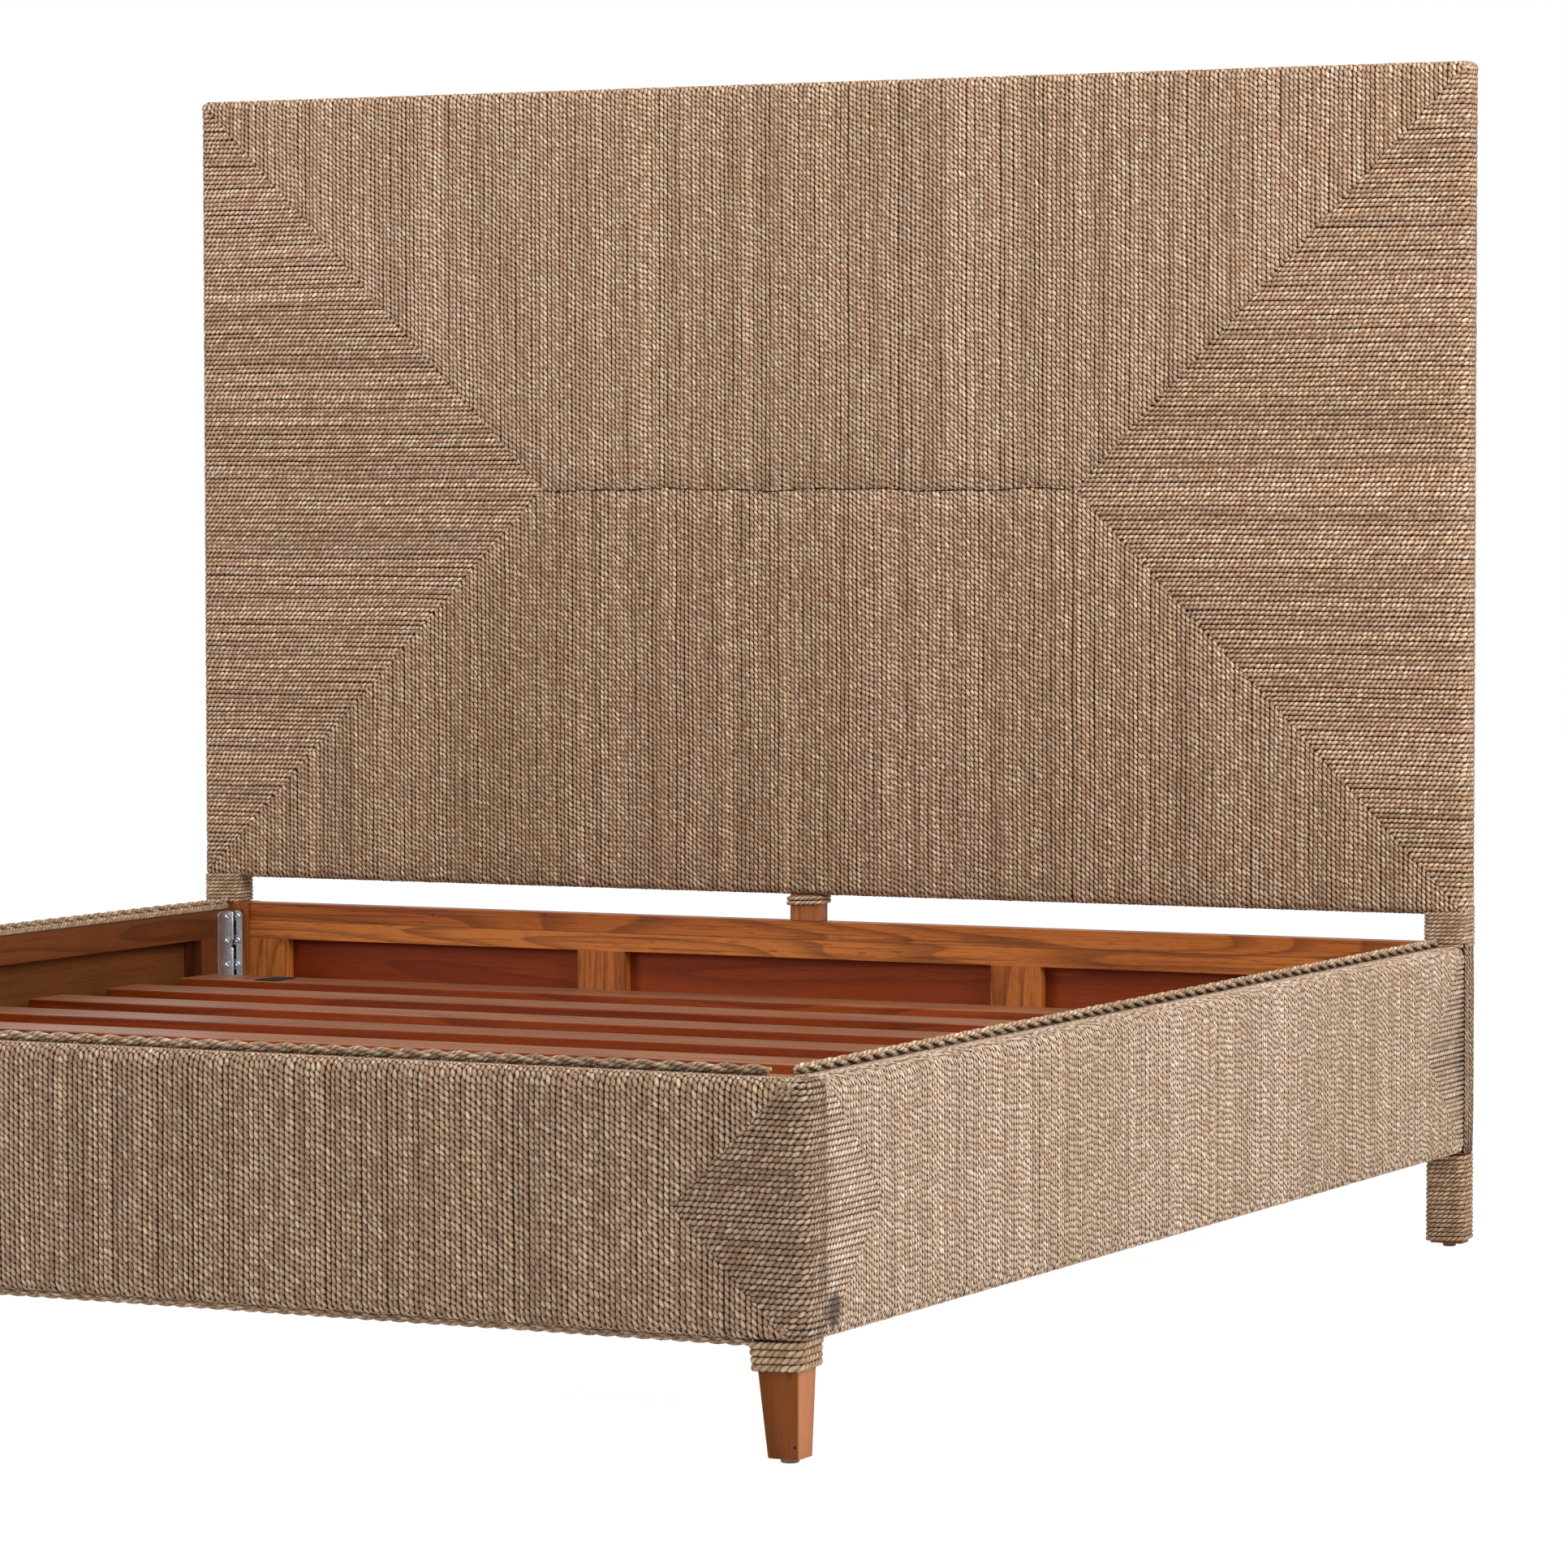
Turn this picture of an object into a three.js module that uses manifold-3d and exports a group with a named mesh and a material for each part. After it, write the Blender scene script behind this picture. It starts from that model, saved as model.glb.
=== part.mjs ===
// King-size bed frame covered in twisted rush rope: headboard, side rails, footboard, slats and legs.
// Millimetres, +Z up, headboard at +Y, footboard at -Y, origin on the floor under the middle of the bed.

import * as THREE from 'three';
import * as BufferGeometryUtils from 'three/addons/utils/BufferGeometryUtils.js';
import { RoundedBoxGeometry } from 'three/addons/geometries/RoundedBoxGeometry.js';
import Module from 'manifold-3d';

// Overall sizes

const mattressWidth = 1930;
const mattressLength = 2030;
const mattressClearance = 10;
const overallHeight = 1650;
const headThickness = 45;
const railThickness = 50;
const footThickness = 50;
const railUnderside = 132;
const railHeight = 289;
const headRise = 5;
const panelGap = 39;
const postWidth = 60;
const jointWidth = 77;

// Clearances and facets

const seatGap = 0.3;
const cutOverrun = 4;
const cornerFacets = 2;
const roundSides = 20;

// Rope

const ropeThickness = 6;
const ropeDiameter = 5.6;
const ropePitch = 6.2;
const ropeStandoff = 2.9;
const ropeSides = 6;
const headEdgeRadius = 11;
const railEdgeRadius = 16;
const seamGrooveWidth = 2.4;
const seamGrooveDepth = 1.6;
const sampleShares = [0, 0.25, 0.5, 0.75];

// Trim cords on the inner top edges, and the thinner ones under the frame's inner bottom edges

const trimCordDiameter = 11;
const trimCordInset = 9;
const trimCordFootGap = 15;
const trimCordHeadGap = 3;
const trimCordSides = 12;
const beadDiameter = 9;
const beadDrop = 7;

// Posts and headboard

const postEdgeRadius = 4;
const centrePostWidth = 49;
const centrePostDepth = 28;
const centrePostEdgeRadius = 2;
const centreCollarLoops = 2;

// Framed panel under the headboard

const lowerFrameSetback = 6;
const lowerFrameDepth = 30;
const lowerTopRail = 55;
const lowerWindowHeight = 68;
const lowerOuterStile = 67;
const lowerInnerStile = 80;
const lowerInnerStilePlace = 338;
const lowerRecess = 20;
const lowerSheet = 8;
const panelLap = 12;

// Side rails and footboard

const railTopBoard = 42;
const railWindowHeight = 71;
const railEndWidth = 88;
const railSheet = 12;
const railWrapHeadGap = 3;
const footMitreInset = 20;
const ledgeWidth = 30;
const ledgeHeight = 30;
const ledgeHeadGap = 50;

// Slats and centre beam

const slatCount = 10;
const slatWidth = 90;
const slatThickness = 18;
const slatTop = 320;
const slatEndClearance = 3;
const slatEdgeRadius = 2.5;
const slatHeadInset = 65;
const slatFootInset = 14;
const beamWidth = 40;
const beamHeight = 70;
const beamSeatWidth = 70;
const beamSeatHeight = 30;
const beamSeatDepth = 40;
const beamLegSize = 45;
const beamLegPlaces = [377, -223];
const beamFootDiameter = 34;
const beamFootHeight = 12;

// Front legs and glides

const legSideInset = 14;
const legFrontInset = 8;
const legTopWidth = 54;
const legTopDepth = 48;
const legFootWidth = 38;
const legFootDepth = 36;
const legEdgeRadius = 2;
const legTenonDiameter = 20;
const legTenonLength = 30;
const legCollarLoops = 3;
const legCollarDrop = 3.5;
const glideHeight = 5;
const glideEdge = 1.2;
const frontGlideDiameter = 21;
const headGlideDiameter = 18;

// Hook-on brackets at the head and angle brackets at the foot

const plateThickness = 2.5;
const plateLength = 129;
const plateTopDrop = 8;
const plateCornerRadius = 7;
const postPlateWidth = 29;
const postPlateMargin = 9;
const railPlateWidth = 42;
const railPlateInset = 3;
const hookCount = 3;
const hookPitch = 37.5;
const topSlotDrop = 27;
const slotHeight = 22;
const slotRoom = 4;
const hookNeckHeight = 12;
const hookNoseHeight = 20;
const hookNoseDepth = 3;
const hookPocketDepth = 8;
const anglePlateWidth = 38;
const anglePlateHeight = 110;
const anglePlateThickness = 3;
const anglePlateDrop = 10;

// Places that follow from the sizes above

const innerHalfWidth = mattressWidth / 2 + mattressClearance;
const innerLength = mattressLength + 2 * mattressClearance;
const halfWidth = innerHalfWidth + railThickness;
const halfLength = (headThickness + innerLength + footThickness) / 2;
const headBack = halfLength;
const headFront = headBack - headThickness;
const footFront = -halfLength;
const footInner = footFront + footThickness;
const railTop = railUnderside + railHeight;
const railMiddle = railUnderside + railHeight / 2;
const jointTop = railTop + headRise;
const panelUnderside = jointTop + panelGap;
const panelMiddle = (panelUnderside + overallHeight) / 2;
const panelHalfHeight = (overallHeight - panelUnderside) / 2;
const woodTop = railTop - ropeThickness - seatGap;
const woodUnderside = railUnderside + ropeThickness + seatGap;
const windowTop = railTop - ropeThickness - railTopBoard;
const windowUnderside = windowTop - railWindowHeight;
const slatUnderside = slatTop - slatThickness;
const beamUnderside = slatUnderside - seatGap - beamHeight;
const plateTop = railTop - plateTopDrop;
const plateUnderside = plateTop - plateLength;
const plateInner = innerHalfWidth - seatGap - plateThickness;

// Upper end of the right front leg, and what its rope collar takes up beside it
const legTop = railUnderside - seatGap;
const legOuter = halfWidth - legSideInset;
const legFront = footFront + legFrontInset;
const legInnerRoom = legOuter - legTopWidth - ropeThickness - seatGap;
const legBackRoom = legFront + legTopDepth + ropeThickness + seatGap;

// The wood of the right post, inside its rope
const postWood = {
  x: [halfWidth - postWidth + ropeThickness + seatGap, halfWidth - ropeThickness - seatGap],
  y: [headFront + ropeThickness + seatGap, headBack - ropeThickness - seatGap],
};

const wasm = await Module();
wasm.setup();

// Joining and cutting

function toSolid(geometry) {
  const bare = geometry.clone();
  bare.deleteAttribute('normal');
  bare.deleteAttribute('uv');
  const merged = BufferGeometryUtils.mergeVertices(bare);
  const triVerts = Uint32Array.from(merged.index.array);
  const vertProperties = Float32Array.from(merged.attributes.position.array);
  return new wasm.Manifold(new wasm.Mesh({ numProp: 3, vertProperties, triVerts }));
}

function toGeometry(solid) {
  const mesh = solid.getMesh();
  const geometry = new THREE.BufferGeometry();
  const positions = Float32Array.from(mesh.vertProperties);
  geometry.setAttribute('position', new THREE.BufferAttribute(positions, 3));
  geometry.setIndex(new THREE.BufferAttribute(Uint32Array.from(mesh.triVerts), 1));
  geometry.computeVertexNormals();
  return geometry;
}

function join(first, ...others) {
  return toGeometry(others.reduce((solid, other) => solid.add(toSolid(other)), toSolid(first)));
}

function cut(first, ...others) {
  return toGeometry(others.reduce((solid, other) => solid.subtract(toSolid(other)), toSolid(first)));
}

function common(first, second) {
  return toGeometry(toSolid(first).intersect(toSolid(second)));
}

// Shapes

const middle = ([a, b]) => (a + b) / 2;
const extent = ([a, b]) => Math.abs(b - a);

// A box given by its two ends along each axis
function block(x, y, z) {
  const geometry = new THREE.BoxGeometry(extent(x), extent(y), extent(z));
  return geometry.translate(middle(x), middle(y), middle(z));
}

// The same with every edge rounded
function softBlock(x, y, z, radius) {
  const geometry = new RoundedBoxGeometry(extent(x), extent(y), extent(z), cornerFacets, radius);
  return geometry.translate(middle(x), middle(y), middle(z));
}

// A rectangle with round corners, about the origin
function roundedRectangle(width, depth, radius) {
  const x = width / 2 - radius;
  const y = depth / 2 - radius;
  const shape = new THREE.Shape();
  shape.absarc(x, -y, radius, -Math.PI / 2, 0);
  shape.absarc(x, y, radius, 0, Math.PI / 2);
  shape.absarc(-x, y, radius, Math.PI / 2, Math.PI);
  shape.absarc(-x, -y, radius, Math.PI, 1.5 * Math.PI);
  return shape;
}

function polygon(points) {
  return new THREE.Shape(points.map(([x, y]) => new THREE.Vector2(x, y)));
}

// A shape drawn in X and Y, raised between two heights; its arcs get two facets a segment
function raised(shape, [from, to]) {
  const options = { depth: to - from, bevelEnabled: false, curveSegments: cornerFacets / 2 };
  return new THREE.ExtrudeGeometry(shape, options).translate(0, 0, from);
}

// A shape drawn in X and Z, carried along Y
function alongY(shape, [from, to]) {
  return raised(shape, [-to, -from]).rotateX(Math.PI / 2);
}

// A shape drawn in Y and Z, carried along X
function alongX(shape, range) {
  const turn = new THREE.Matrix4().makeBasis(
    new THREE.Vector3(0, 1, 0),
    new THREE.Vector3(0, 0, 1),
    new THREE.Vector3(1, 0, 0),
  );
  return raised(shape, range).applyMatrix4(turn);
}

// A round piece on the Z axis, from radius and height pairs that start and end on the axis
function turned(profile) {
  const points = profile.map(([radius, height]) => new THREE.Vector2(radius, height));
  return new THREE.LatheGeometry(points, roundSides).rotateX(Math.PI / 2);
}

// A closed skin over rings that run anticlockwise seen from the last ring
function loft(rings) {
  const count = rings[0].length;
  const index = [];
  for (let ring = 0; ring < rings.length - 1; ring += 1) {
    for (let i = 0; i < count; i += 1) {
      const a = ring * count + i;
      const b = ring * count + ((i + 1) % count);
      index.push(a, b, b + count, a, b + count, a + count);
    }
  }
  const last = (rings.length - 1) * count;
  for (let i = 1; i < count - 1; i += 1) {
    index.push(0, i + 1, i, last, last + i, last + i + 1);
  }
  const geometry = new THREE.BufferGeometry();
  geometry.setFromPoints(rings.flat());
  geometry.setIndex(index);
  geometry.computeVertexNormals();
  return geometry;
}

// The matching piece on the other side of the bed
function mirrored(geometry) {
  const other = geometry.index ? geometry.toNonIndexed() : geometry.clone();
  const position = other.attributes.position;
  for (let i = 0; i < position.count; i += 3) {
    const [a, b, c] = [0, 2, 1].map((k) => new THREE.Vector3().fromBufferAttribute(position, i + k));
    [a, b, c].forEach((point, k) => position.setXYZ(i + k, -point.x, point.y, point.z));
  }
  other.computeVertexNormals();
  return other;
}

// Materials

const finish = (color, roughness, metalness = 0) => ({ color, roughness, metalness });
const headRope = finish(0xa58a70, 0.85);
const sideRope = finish(0xbda78f, 0.85);
const footRope = finish(0x9d836d, 0.85);
const frameWood = finish(0x97572a, 0.5);
const panelWood = finish(0x69301a, 0.6);
const railWood = finish(0x64371a, 0.55);
const slatWood = finish(0x874f38, 0.45);
const legWood = finish(0x9c5f3c, 0.45);
const hiddenWood = finish(0x7d5a3c, 0.7);
const zinc = finish(0xb4b8ba, 0.35, 0.9);
const plastic = finish(0x7c756d, 0.6);

const bed = new THREE.Group();

function place(parent, name, geometry, material) {
  const mesh = new THREE.Mesh(geometry, new THREE.MeshStandardMaterial(material));
  mesh.name = name;
  parent.add(mesh);
}

function group(parent, x, y, z = 0) {
  const child = new THREE.Group();
  child.position.set(x, y, z);
  parent.add(child);
  return child;
}

function placePair(parent, name, right, material) {
  place(parent, `${name}_right`, right, material);
  place(parent, `${name}_left`, mirrored(right), material);
}

const sides = [['left', -1], ['right', 1]];

// Wound rope

// Points of one loop round a section, from the start of its first corner to the end of its last
function loopPoints({ centre, width, depth, radius }) {
  const x = width / 2 - radius;
  const y = depth / 2 - radius;
  const reach = radius + ropeStandoff;
  const corners = [[x, -y, -Math.PI / 2], [x, y, 0], [-x, y, Math.PI / 2], [-x, -y, Math.PI]];
  return corners.flatMap(([cornerX, cornerY, start]) => {
    const steps = Array.from({ length: cornerFacets + 1 }, (_, i) => start + (i * Math.PI) / 2 / cornerFacets);
    return steps.map((angle) => [
      centre[0] + cornerX + reach * Math.cos(angle),
      centre[1] + cornerY + reach * Math.sin(angle),
    ]);
  });
}

// One unbroken rope wound upwards, with straight ends on the section's front side
function windingRoute({ loops, bottom, top, sectionAt }) {
  const start = bottom + ropeDiameter / 2;
  const rise = (top - bottom - ropeDiameter) / loops;
  const stepsPerLoop = 4 * (cornerFacets + 1);
  const front = (height) => {
    const section = sectionAt(height);
    return new THREE.Vector3(section.centre[0], loopPoints(section)[0][1], height);
  };
  const straight = new THREE.Vector3(ropeDiameter, 0, 0);
  const route = [front(start).sub(straight)];
  for (let step = 0; step < loops * stepsPerLoop; step += 1) {
    const height = start + (rise * (step + 0.5)) / stepsPerLoop;
    const [x, y] = loopPoints(sectionAt(height))[step % stepsPerLoop];
    route.push(new THREE.Vector3(x, y, height));
  }
  route.push(front(start + rise * loops).add(straight));
  return route;
}

// A tube along a route that climbs anticlockwise, with flats towards the wood
function ropeTube(route) {
  const up = new THREE.Vector3(0, 0, 1);
  const last = route.length - 1;
  return loft(route.map((point, i) => {
    const ahead = route[Math.min(i + 1, last)].clone().sub(route[Math.min(i, last - 1)]).normalize();
    const behind = route[Math.max(i, 1)].clone().sub(route[Math.max(i - 1, 0)]).normalize();
    const forward = ahead.clone().add(behind).normalize();
    const outward = new THREE.Vector3().crossVectors(forward, up).normalize();
    const over = new THREE.Vector3().crossVectors(outward, forward);
    return Array.from({ length: ropeSides }, (_, side) => {
      const angle = ((-side - 0.5) * 2 * Math.PI) / ropeSides;
      const out = ((ropeDiameter / 2) * Math.cos(angle)) / forward.dot(ahead);
      const rise = (ropeDiameter / 2) * Math.sin(angle);
      return point.clone().addScaledVector(outward, out).addScaledVector(over, rise);
    });
  }));
}

// Least gap between stretches of a route that are more than half a loop apart
function leastGap(route) {
  const samples = route.slice(0, -1).flatMap((point, i) => (
    sampleShares.map((share) => point.clone().lerp(route[i + 1], share))
  ));
  const apart = 2 * (cornerFacets + 1) * sampleShares.length;
  let least = Infinity;
  samples.forEach((point, i) => {
    samples.slice(i + apart).forEach((other) => {
      least = Math.min(least, point.distanceTo(other));
    });
  });
  return least - ropeDiameter;
}

function placeWinding(parent, name, winding, material) {
  const route = windingRoute(winding);
  console.log(`${name}: least gap between turns ${leastGap(route).toFixed(2)} mm`);
  place(parent, name, ropeTube(route), material);
}

// How many loops fill a height
function loopsIn(height) {
  return Math.floor((height - ropeDiameter) / ropePitch);
}

// Height of a winding at its usual pitch
function windingHeight(loops) {
  return loops * ropePitch + ropeDiameter;
}

function glide(diameter) {
  const radius = diameter / 2;
  return turned([[0, 0], [radius - glideEdge, 0], [radius, glideEdge], [radius, glideHeight], [0, glideHeight]]);
}

// Hook-on brackets, right side

const plateHeights = [plateUnderside, plateTop];
const plateOutline = (width) => roundedRectangle(width, plateLength, plateCornerRadius);
const slotWidth = [plateInner - seatGap - slotRoom, innerHalfWidth];
const slotHeights = Array.from({ length: hookCount }, (_, i) => {
  const top = plateTop + slotHeight / 2 - topSlotDrop - i * hookPitch;
  return [top - slotHeight, top];
});

const postPlateStart = halfWidth - jointWidth + postPlateMargin;
const postPlateX = [postPlateStart, postPlateStart + postPlateWidth];

function postHookPlate() {
  const depth = [headFront, headFront + plateThickness];
  const past = [headFront - cutOverrun, headFront + plateThickness + cutOverrun];
  const plate = alongY(plateOutline(postPlateWidth), depth);
  plate.translate(middle(postPlateX), 0, middle(plateHeights));
  return cut(plate, ...slotHeights.map((z) => block(slotWidth, past, z)));
}

// A leaf on the rail's end with hooks that pass through the slots and hang behind the post's plate
function railHookPlate() {
  const thickness = [plateInner, innerHalfWidth - seatGap];
  const leafEnd = headFront - railPlateInset;
  const noseStart = headFront + plateThickness + seatGap;
  const noseEnd = noseStart + hookNoseDepth;
  const leaf = alongX(plateOutline(railPlateWidth), thickness);
  leaf.translate(0, leafEnd - railPlateWidth / 2, middle(plateHeights));
  const hooks = slotHeights.flatMap(([bottom]) => {
    const neckTop = bottom + seatGap + hookNeckHeight;
    return [
      block(thickness, [leafEnd - cutOverrun, noseEnd], [bottom + seatGap, neckTop]),
      block(thickness, [noseStart, noseEnd], [neckTop - hookNoseHeight, neckTop]),
    ];
  });
  return join(leaf, ...hooks);
}

// Room in the post for its plate and for the hooks behind it
function hookCuts() {
  const bedDepth = [headFront - cutOverrun, headFront + plateThickness + seatGap];
  const bedHeight = [plateUnderside - seatGap, plateTop + seatGap];
  const plateBed = block([postPlateX[0] - seatGap, postPlateX[1] + seatGap], bedDepth, bedHeight);
  const pockets = slotHeights.map(([bottom, top]) => block(
    [slotWidth[0] - seatGap, innerHalfWidth + plateThickness],
    [headFront - cutOverrun, headFront + plateThickness + hookPocketDepth],
    [bottom + hookNeckHeight - hookNoseHeight, top],
  ));
  return [plateBed, ...pockets];
}

// Headboard posts: a rounded bar, square where the rails and the lower frame meet it

const postCentre = [middle(postWood.x), middle(postWood.y)];
const postSection = {
  centre: [0, 0],
  width: extent(postWood.x),
  depth: extent(postWood.y),
  radius: postEdgeRadius,
};

function headPost() {
  const outline = roundedRectangle(postSection.width, postSection.depth, postEdgeRadius);
  const bar = raised(outline, [glideHeight + seatGap, overallHeight - ropeThickness - seatGap]);
  bar.translate(...postCentre, 0);
  const jointX = [halfWidth - jointWidth, postWood.x[1]];
  const joint = block(jointX, [headFront, postWood.y[1]], [railUnderside, jointTop]);
  return cut(join(bar, joint), ...hookCuts());
}

// Upright rope on the square part's outer and back faces
function postSideWrap() {
  const outer = halfWidth;
  const arc = headEdgeRadius;
  const shape = new THREE.Shape();
  const [inner, front] = [outer - ropeThickness, headBack - ropeThickness];
  shape.moveTo(inner, headFront + seatGap);
  shape.lineTo(outer, headFront + seatGap);
  shape.absarc(outer - arc, headBack - arc, arc, 0, Math.PI / 2);
  shape.lineTo(outer - postWidth, headBack);
  shape.lineTo(outer - postWidth, front);
  shape.lineTo(inner, front);
  return raised(shape, [railUnderside + seatGap, jointTop - seatGap]);
}

function placePosts(parent) {
  placePair(parent, 'head_post', headPost(), frameWood);
  placePair(parent, 'head_post_side_wrap', postSideWrap(), sideRope);
  placePair(parent, 'post_hook_plate', postHookPlate(), zinc);
  const legRange = [glideHeight + seatGap, railUnderside - seatGap];
  const neckRange = [jointTop + seatGap, panelUnderside - seatGap];
  const sectionAt = () => postSection;
  sides.forEach(([name, side]) => {
    const post = group(parent, side * postCentre[0], postCentre[1]);
    [['leg', legRange, sideRope], ['neck', neckRange, headRope]].forEach(([part, range, material]) => {
      const winding = { loops: loopsIn(extent(range)), bottom: range[0], top: range[1], sectionAt };
      placeWinding(post, `head_${part}_wrap_${name}`, winding, material);
    });
    place(post, `head_glide_${name}`, glide(headGlideDiameter), plastic);
  });
}

// Headboard panel: a plain core in four mitred fields of rope

function headboardCore() {
  const end = postWood.x[0] - seatGap;
  const bottom = panelUnderside + ropeThickness + seatGap;
  return block([-end, end], postWood.y, [bottom, overallHeight - ropeThickness - seatGap]);
}

// Section of the rope that goes over an edge of the panel, as far out as given from the panel's middle
function overEdge(reach) {
  const arc = headEdgeRadius;
  const [front, back] = [headFront + ropeThickness, headBack - ropeThickness];
  const shape = new THREE.Shape();
  shape.moveTo(front, 0);
  shape.lineTo(front, reach - ropeThickness);
  shape.lineTo(back, reach - ropeThickness);
  shape.lineTo(back, 0);
  shape.lineTo(headBack, 0);
  shape.absarc(headBack - arc, reach - arc, arc, 0, Math.PI / 2);
  shape.absarc(headFront + arc, reach - arc, arc, Math.PI / 2, Math.PI);
  shape.lineTo(headFront, 0);
  return shape;
}

// Outline of a field between 45 degree mitres and the level seam at mid height
function fieldOutline(halfEdge, reach) {
  const far = reach + cutOverrun;
  const seam = seatGap / 2;
  const tip = halfEdge - reach - seatGap * Math.SQRT1_2;
  const near = tip > 0 ? [[tip + seam, seam], [-tip - seam, seam]] : [[0, -tip]];
  return polygon([[-tip - far, far], [tip + far, far], ...near]);
}

// A field that covers the panel's top edge, turned about the panel's middle to another edge
function headboardField(halfEdge, reach, turn) {
  const past = [headFront - cutOverrun, headBack + cutOverrun];
  const field = common(
    alongX(overEdge(reach), [-halfEdge, halfEdge]),
    alongY(fieldOutline(halfEdge, reach), past),
  );
  return field.rotateY(turn).translate(0, 0, panelMiddle);
}

// Openings in the lower edge that the posts come up through
function postPassages() {
  const x = [postWood.x[0] - seatGap, halfWidth - ropeThickness];
  const y = [headFront + ropeThickness, headBack - ropeThickness];
  const passage = block(x, y, [panelUnderside - cutOverrun, panelUnderside + ropeThickness + cutOverrun]);
  return [passage, mirrored(passage)];
}

function placeHeadboard(parent) {
  place(parent, 'headboard_core', headboardCore(), hiddenWood);
  const upright = (turn) => headboardField(halfWidth, panelHalfHeight, turn);
  const lying = (turn) => headboardField(panelHalfHeight, halfWidth, turn);
  place(parent, 'headboard_wrap_top', upright(0), headRope);
  place(parent, 'headboard_wrap_bottom', cut(upright(Math.PI), ...postPassages()), headRope);
  place(parent, 'headboard_wrap_left', lying(-Math.PI / 2), headRope);
  place(parent, 'headboard_wrap_right', lying(Math.PI / 2), headRope);
}

// Framed panel between the posts, and the short post that carries the headboard's middle

const lowerFront = headFront + lowerFrameSetback;
const lowerEnd = halfWidth - jointWidth - seatGap;
const lowerTop = jointTop - seatGap;
const lowerWindow = [lowerTop - lowerTopRail - lowerWindowHeight, lowerTop - lowerTopRail];

// A block that carries one end of the centre beam
function beamSeat(face, direction) {
  const top = beamUnderside - seatGap;
  return block(
    [-beamSeatWidth / 2, beamSeatWidth / 2],
    [face - direction * cutOverrun, face + direction * beamSeatDepth],
    [top - beamSeatHeight, top],
  );
}

function lowerFrame() {
  const back = lowerFront + lowerFrameDepth;
  const half = lowerInnerStile / 2;
  const windowEnd = lowerEnd - lowerOuterStile;
  const past = [lowerFront - cutOverrun, back + cutOverrun];
  const windows = [
    [-windowEnd, -lowerInnerStilePlace - half],
    [-lowerInnerStilePlace + half, lowerInnerStilePlace - half],
    [lowerInnerStilePlace + half, windowEnd],
  ].map((x) => block(x, past, lowerWindow));
  const rebate = block(
    [-windowEnd - panelLap, windowEnd + panelLap],
    [lowerFront + lowerRecess, past[1]],
    [lowerWindow[0] - panelLap, lowerWindow[1] + panelLap],
  );
  const body = block([-lowerEnd, lowerEnd], [lowerFront, back], [railUnderside, lowerTop]);
  return cut(join(body, beamSeat(lowerFront, -1)), ...windows, rebate);
}

function lowerPanel() {
  const end = lowerEnd - lowerOuterStile + panelLap - seatGap;
  const front = lowerFront + lowerRecess + seatGap;
  const lap = panelLap - seatGap;
  return block([-end, end], [front, front + lowerSheet], [lowerWindow[0] - lap, lowerWindow[1] + lap]);
}

function placeLowerFrame(parent) {
  place(parent, 'head_lower_frame', lowerFrame(), frameWood);
  place(parent, 'head_lower_panel', lowerPanel(), panelWood);
  const post = group(parent, 0, lowerFront + centrePostDepth / 2);
  const outline = roundedRectangle(centrePostWidth, centrePostDepth, centrePostEdgeRadius);
  const top = panelUnderside - seatGap;
  place(post, 'centre_post', raised(outline, [jointTop, top]), frameWood);
  const section = {
    centre: [0, 0],
    width: centrePostWidth,
    depth: centrePostDepth,
    radius: centrePostEdgeRadius,
  };
  placeWinding(post, 'centre_post_collar', {
    loops: centreCollarLoops,
    bottom: top - windingHeight(centreCollarLoops),
    top,
    sectionAt: () => section,
  }, headRope);
}

// Side rails, right side

const woodOuter = halfWidth - ropeThickness - seatGap;
const railRange = [footInner + seatGap, headFront - seatGap];

function railFrame() {
  const [front, back] = railRange;
  const windowY = [front + railEndWidth, back - railEndWidth];
  const body = block([innerHalfWidth, woodOuter], [front, back], [woodUnderside, woodTop]);
  const window = block([innerHalfWidth - cutOverrun, halfWidth], windowY, [windowUnderside, windowTop]);
  const rebate = block(
    [woodOuter - railSheet, halfWidth],
    [windowY[0] - panelLap, windowY[1] + panelLap],
    [windowUnderside - panelLap, windowTop + panelLap],
  );
  return cut(body, window, rebate);
}

function railPanel() {
  const [front, back] = railRange;
  const lap = panelLap - seatGap;
  return block(
    [woodOuter - railSheet + seatGap, woodOuter],
    [front + railEndWidth - lap, back - railEndWidth + lap],
    [windowUnderside - lap, windowTop + lap],
  );
}

// Rope over the rail's top, outer face and underside, with its seams and the cord under its inner edge
function railWrap() {
  const arc = railEdgeRadius;
  const y = [footInner + seatGap, headFront - railWrapHeadGap];
  const shape = new THREE.Shape();
  shape.moveTo(innerHalfWidth, railTop);
  shape.lineTo(innerHalfWidth, railUnderside);
  shape.absarc(halfWidth - arc, railUnderside + arc, arc, -Math.PI / 2, 0);
  shape.absarc(halfWidth - arc, railTop - arc, arc, 0, Math.PI / 2);
  const wood = block(
    [innerHalfWidth - cutOverrun, halfWidth - ropeThickness],
    [y[0] - cutOverrun, y[1] + cutOverrun],
    [railUnderside + ropeThickness, railTop - ropeThickness],
  );
  const bead = cordAlongY(beadDiameter, [legBackRoom, y[1]]);
  bead.translate(innerHalfWidth + beadDiameter / 2, 0, railUnderside + beadDiameter / 2 - beadDrop);
  const whole = join(alongY(shape, y), bead);
  return cut(whole, wood, ...railSeams(y));
}

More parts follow.
